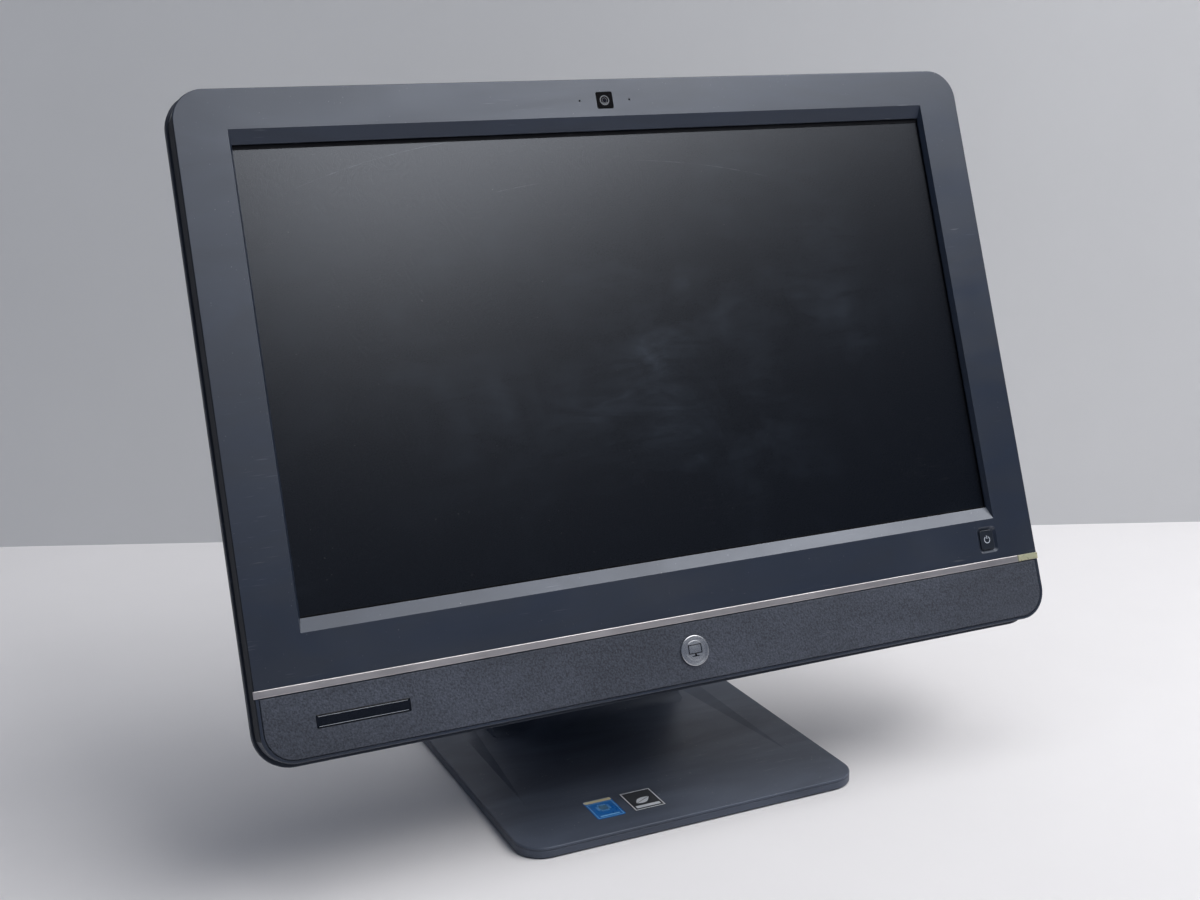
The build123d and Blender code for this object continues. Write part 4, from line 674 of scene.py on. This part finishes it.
def webcam_lens():
    """Rings, a painted catch-light arc, the lens and its small indicator, seen through the dark window."""
    mid, low, _ = head_spot("webcam_window")
    spot = (mid.x, 0, mid.z)
    bm = new_shape()
    add_ring(bm, spot, 2.45, 2.95, low.y - 0.02, low.y + 0.3)
    add_ring(bm, spot, 1.40, 1.55, low.y - 0.015, low.y + 0.3, steps=32)
    # painted highlight: a grey arc at the lens's lower side stands for its catch-light
    add_ring(bm, spot, 1.90, 2.25, low.y - 0.015, low.y + 0.3, start=35, sweep=110, steps=16)
    finish_piece("webcam_lens_rings_and_highlight", bm, "head", FINISHES["spindle_plastic"], HEAD)
    bm = new_shape()
    add_dome(bm, (mid.x, low.y - 0.002, mid.z), 1.34, 0.18)
    finish_piece("webcam_lens", bm, "head", LENS_GLASS, HEAD)
    bm = new_shape()
    add_dome(bm, (mid.x + 3.6, low.y - 0.002, mid.z + 3.3), 0.35, 0.06, 2, 16)
    finish_piece("webcam_light", bm, "head", LENS_GLASS, HEAD)


# ---------------------------------------------------------------- details on the foot
PRINT_RISE, PRINT_SINK = 0.02, 0.05         # how far the stickers' print stands over and into their faces


def sticker_levels(node):
    low, high = (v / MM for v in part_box(node))
    return low, high, high.z - PRINT_SINK, high.z + PRINT_RISE


def processor_sticker_art():
    """A gold band along the back edge, a border, and a chip with its legs."""
    low, high, base, top = sticker_levels("processor_sticker")
    bm = new_shape()
    add_block(bm, (low.x + 0.3, high.y - 3.4, base), (high.x - 0.3, high.y - 0.3, top), 0.9, 2)
    finish_piece("processor_sticker_band", bm, "stand", LABEL_GOLD)
    bm = new_shape()
    x0, x1, y0, y1 = low.x + 0.9, high.x - 0.9, low.y + 0.9, high.y - 4.3
    add_frame(bm, (x0, y0), (x1, y1), 0.35, 0.05, base, top)
    x, y = (x0 + x1) / 2, y1 - 6.6
    add_block(bm, (x - 2.6, y - 2.6, base), (x + 2.6, y + 2.6, top), 0.5, 2)
    for n in range(4):
        leg = -2.0 + 1.33 * n
        add_block(bm, (x + leg - 0.25, y - 4.2, base), (x + leg + 0.25, y + 4.2, top), 0.1, 2)
        add_block(bm, (x - 4.2, y + leg - 0.25, base), (x + 4.2, y + leg + 0.25, top), 0.1, 2)
    add_block(bm, (x0 + 2.0, y0 + 1.5, base), (x1 - 2.0, y0 + 2.6, top), 0.2, 2)
    finish_piece("processor_sticker_print", bm, "stand", LABEL_PALE_BLUE)


def energy_sticker_art():
    """A pale border, a bar along the front, and a leaf."""
    low, high, base, top = sticker_levels("energy_sticker")
    bm = new_shape()
    x0, x1, y0, y1 = low.x + 0.4, high.x - 0.4, low.y + 0.4, high.y - 0.4
    add_frame(bm, (x0, y0), (x1, y1), 0.75, 0.25, base, top)
    add_block(bm, (x0 + 2.0, y0 + 2.2, base), (x1 - 2.0, y0 + 5.0, top), 0.2, 2)
    add_leaf(bm, Vector(((x0 + x1) / 2 - 5.2, y0 + 8.2, 0)), 11.5, 3.4, base, top)
    finish_piece("energy_sticker_print", bm, "stand", LABEL_WHITE)


def add_leaf(bm, stem, long, width, base, top, steps=14):
    """A pointed leaf lying on the foot, slanting up to the right, split by its vein."""
    slant = Matrix.Rotation(radians(28), 3, "Z")
    for side in (-1, 1):
        rim, vein = [], []
        for n in range(steps + 1):
            t = n / steps
            bulge = 0.22 + width * sin(pi * t) * (1 - 0.35 * t)
            rim.append(stem + slant @ Vector((t * long, side * bulge, 0)))
            vein.append(stem + slant @ Vector((t * long, side * 0.2, 0)))
        outline = [(p.x, p.y, base) for p in rim + vein[::-1]]
        add_prism(bm, outline, (0, 0, top - base))


# ---------------------------------------------------------------- details on the back and side
BACK = 62.0                                 # the flat of the rear cover, in the head's frame
VENTS = {"upper": (-104, 104, 48, 76), "left": (-184, -117, -145, -111), "right": (117, 184, -145, -111)}
MESH_PITCH, MESH_HALF_WIRE, MESH_BEHIND = 2.2, 0.3, 2.8
LABEL_LEFT, LABEL_RIGHT, LABEL_LOW, LABEL_TOP = -142, -74, -92, -58
ANALOG_X = -2.0                             # middle of the blue video socket
AUDIO_EDGE = 5.0                            # the audio jacks' centres from the ends of their node


def vent_meshes():
    """Woven mesh just inside each row of slots: two crossing layers of thin flat wires."""
    depth = BACK - MESH_BEHIND
    for label, (x0, x1, z0, z1) in VENTS.items():
        bm = new_shape()
        for n in range(int((x1 - x0) / MESH_PITCH) + 1):
            x = x0 + MESH_PITCH * n
            add_block(bm, (x - MESH_HALF_WIRE, depth, z0), (x + MESH_HALF_WIRE, depth + 0.16, z1))
        for n in range(int((z1 - z0) / MESH_PITCH) + 1):
            z = z0 + MESH_PITCH * n
            add_block(bm, (x0, depth - 0.17, z - MESH_HALF_WIRE), (x1, depth - 0.01, z + MESH_HALF_WIRE))
        finish_piece("vent_mesh_" + label, bm, "head", WIRE_MESH, HEAD)


def rating_label():
    """A blank silver label on the rear cover, with ruled lines where its print would be."""
    bm = new_shape()
    add_block(bm, (LABEL_LEFT, BACK - 0.05, LABEL_LOW), (LABEL_RIGHT, BACK + 0.08, LABEL_TOP), 1.5)
    finish_piece("rear_label", bm, "head", LABEL_WHITE, HEAD)
    bm = new_shape()
    left = LABEL_LEFT + 4
    for n, long in enumerate((60, 52, 56, 40, 48)):
        z = LABEL_TOP - 5.5 - 4.6 * n
        add_block(bm, (left, BACK + 0.07, z - 0.35), (left + long, BACK + 0.1, z + 0.35), 0.1)
    finish_piece("rear_label_rules", bm, "head", DARK_ENAMEL, HEAD)


def network_contacts():
    """Eight sprung contacts in the roof of the network jack, each bent down at the mouth."""
    mid, _, high = head_spot("network_jack")
    bm = new_shape()
    for n in range(8):
        x = mid.x - 3.6 + n * 1.03
        add_block(bm, (x - 0.2, high.y - 9.0, mid.z + 1.2), (x + 0.2, high.y - 1.4, mid.z + 1.5))
        add_block(bm, (x - 0.2, high.y - 1.7, mid.z + 1.2), (x + 0.2, high.y - 1.4, mid.z + 4.5))
    finish_piece("network_contacts", bm, "head", GOLD_CONTACT, HEAD)


def jack_rings():
    mid, low, high = head_spot("rear_audio_jacks")
    places = (("green", low.x + AUDIO_EDGE, JACK_GREEN), ("pink", high.x - AUDIO_EDGE, JACK_PINK))
    for label, x, material in places:
        bm = new_shape()
        add_ring(bm, (x, 0, mid.z), 1.85, 3.9, high.y - 0.5, high.y + 0.25)
        finish_piece("audio_ring_" + label, bm, "head", material, HEAD)


def analog_video_face():
    """The blue socket: a ring at each screw, the insulator, and three rows of five contacts."""
    mid, _, high = head_spot("video_ports")
    bm = new_shape()
    for side in (-1, 1):
        add_ring(bm, (ANALOG_X + side * 12.5, 0, mid.z), 1.2, 2.5, high.y - 1.0, high.y - 0.6)
    finish_piece("video_screw_rings", bm, "head", FINISHES["port_steel"], HEAD)
    bm = new_shape()
    low = (ANALOG_X - 7.2, high.y - 2.0, mid.z - 3.2)
    add_block(bm, low, (ANALOG_X + 7.2, high.y + 0.04, mid.z + 3.2), 1.6)
    finish_piece("video_insulator", bm, "head", BLUE_INSULATOR, HEAD)
    bm = new_shape()
    for z in (mid.z - 1.9, mid.z, mid.z + 1.9):
        for n in range(5):
            x = ANALOG_X - 4.6 + 2.3 * n
            add_ring(bm, (x, 0, z), 0.12, 0.42, high.y - 0.5, high.y + 0.07, steps=12)
    finish_piece("video_sockets", bm, "head", GOLD_CONTACT, HEAD)


def tray_details():
    """A status light on the disc tray's front, and a small triangle-and-bar mark on its eject button."""
    mid, low, high = head_spot("tray_bezel")
    bm = new_shape()
    y, z = mid.y, low.z + 52.0
    add_block(bm, (high.x - 0.4, y - 0.6, z - 1.6), (high.x + 0.03, y + 0.6, z + 1.6), 0.5, 0)
    finish_piece("tray_light", bm, "disc_tray", LABEL_GOLD, HEAD)
    mid, _, high = head_spot("eject_button")
    x, y, z = high.x - 0.3, mid.y, mid.z
    bm = new_shape()
    add_prism(bm, [(x, y - 1.0, z - 0.6), (x, y - 1.0, z + 1.4), (x, y + 0.6, z + 0.4)], (0.32, 0, 0))
    add_block(bm, (x, y - 1.0, z - 1.4), (x + 0.32, y + 0.6, z - 1.0))
    finish_piece("eject_mark", bm, "eject_button", SYMBOL_INK, HEAD)


power_symbol()
badge_mark()
nameplate_lines()
webcam_lens()
processor_sticker_art()
energy_sticker_art()
vent_meshes()
rating_label()
network_contacts()
jack_rings()
analog_video_face()
tray_details()


# ---------------------------------------------------------------- camera
EYE = Vector((-0.3899, -0.8357, 0.4296))
LOOK = Vector((0.3978, 0.8859, -0.2387)).normalized()
EYE_UP = Vector((0.117, 0.209, 0.9709))
EYE_RIGHT = LOOK.cross(EYE_UP).normalized()
EYE_UP = EYE_RIGHT.cross(LOOK)

camera = bpy.data.objects.new("Camera", bpy.data.cameras.new("Camera"))
camera.data.sensor_width = 36.0
camera.data.lens = 46.7
camera.matrix_world = Matrix.Translation(EYE) @ Matrix((EYE_RIGHT, EYE_UP, -LOOK)).transposed().to_4x4()
bpy.context.scene.collection.objects.link(camera)
bpy.context.scene.camera = camera

# ---------------------------------------------------------------- table top, backdrop and light
HEADING = Vector((LOOK.x, LOOK.y, 0)).normalized()
SIDEWAYS = Vector((HEADING.y, -HEADING.x, 0))
WALL_DISTANCE = 1.414
SHEET_HALF_WIDTH, FLOOR_REACH, WALL_HEIGHT = 6.0, 5.0, 4.0


def paper(name, colour):
    """Matte paper that is clear from behind, so that it never hides the object."""
    made = Finish(name, Roughness=0.9, Specular_IOR_Level=0.1)
    tree = made.tree
    fibre = noise(tree, made.where, 6.0, 5.0, 0.6)
    made.set("Base Color", blend_colour(tree, fibre, shade(colour, 0.97), shade(colour, 1.03)))
    clear = add_node(tree, "BsdfTransparent")
    behind = add_node(tree, "NewGeometry").outputs["Backfacing"]
    mixed = add_node(tree, "MixShader", {0: behind, 1: made.shader.outputs[0], 2: clear.outputs[0]})
    wire(tree, tree.nodes["Material Output"].inputs["Surface"], mixed.outputs[0])
    return made.material


def paper_sheet(name, edge, reach, colour):
    """A wide flat sheet that runs from its edge as far as reach."""
    bm = new_shape()
    left, right = edge - SIDEWAYS * SHEET_HALF_WIDTH, edge + SIDEWAYS * SHEET_HALF_WIDTH
    corners = [left, right, right + reach, left + reach]
    face = bm.faces.new([bm.verts.new(c) for c in corners])
    face.normal_update()
    if face.normal.dot(EYE - edge) < 0:
        face.normal_flip()
    mesh = bpy.data.meshes.new(name)
    bm.to_mesh(mesh)
    bm.free()
    mesh.materials.append(paper(name + " paper", colour))
    made = bpy.data.objects.new(name, mesh)
    bpy.context.scene.collection.objects.link(made)


def area_light(name, spot, target, width, height, power, colour=(1, 1, 1)):
    light = bpy.data.lights.new(name, "AREA")
    light.shape = "RECTANGLE"
    light.size, light.size_y = width, height
    light.energy = power
    light.color = colour
    made = bpy.data.objects.new(name, light)
    spot, target = Vector(spot), Vector(target)
    aim = (target - spot).to_track_quat("-Z", "Y").to_matrix().to_4x4()
    made.matrix_world = Matrix.Translation(spot) @ aim
    bpy.context.scene.collection.objects.link(made)


WALL_FOOT = Vector((EYE.x, EYE.y, -0.0002)) + HEADING * WALL_DISTANCE
paper_sheet("Floor", WALL_FOOT, HEADING * -FLOOR_REACH, (0.79, 0.775, 0.78))
paper_sheet("Wall", WALL_FOOT, Vector((0, 0, WALL_HEIGHT)), (0.66, 0.665, 0.675))
AIM = (0.0, 0.0, 0.25)
area_light("Front bank", (1.05, -1.15, 1.95), AIM, 2.3, 0.9, 43, (1.0, 0.99, 0.98))
area_light("Right bank", (2.0, -0.1, 1.5), AIM, 1.2, 1.2, 15)
area_light("Top bank", (0.2, -0.1, 2.3), (0.1, 0.1, 0.0), 1.6, 1.6, 18)
area_light("Left fill", (-1.9, -0.8, 1.1), AIM, 1.2, 1.2, 1.5, (0.92, 0.96, 1.0))

world = bpy.data.worlds.new("Studio")
world.use_nodes = True
bpy.context.scene.world = world
sky = world.node_tree
seen = add_node(sky, "LightPath").outputs["Is Camera Ray"]
tint = blend_colour(sky, seen, (0.030, 0.050, 0.095, 1.0), (0.50, 0.51, 0.53, 1.0))
wire(sky, sky.nodes["Background"].inputs["Color"], tint)
bpy.context.scene.view_settings.view_transform = "Standard"
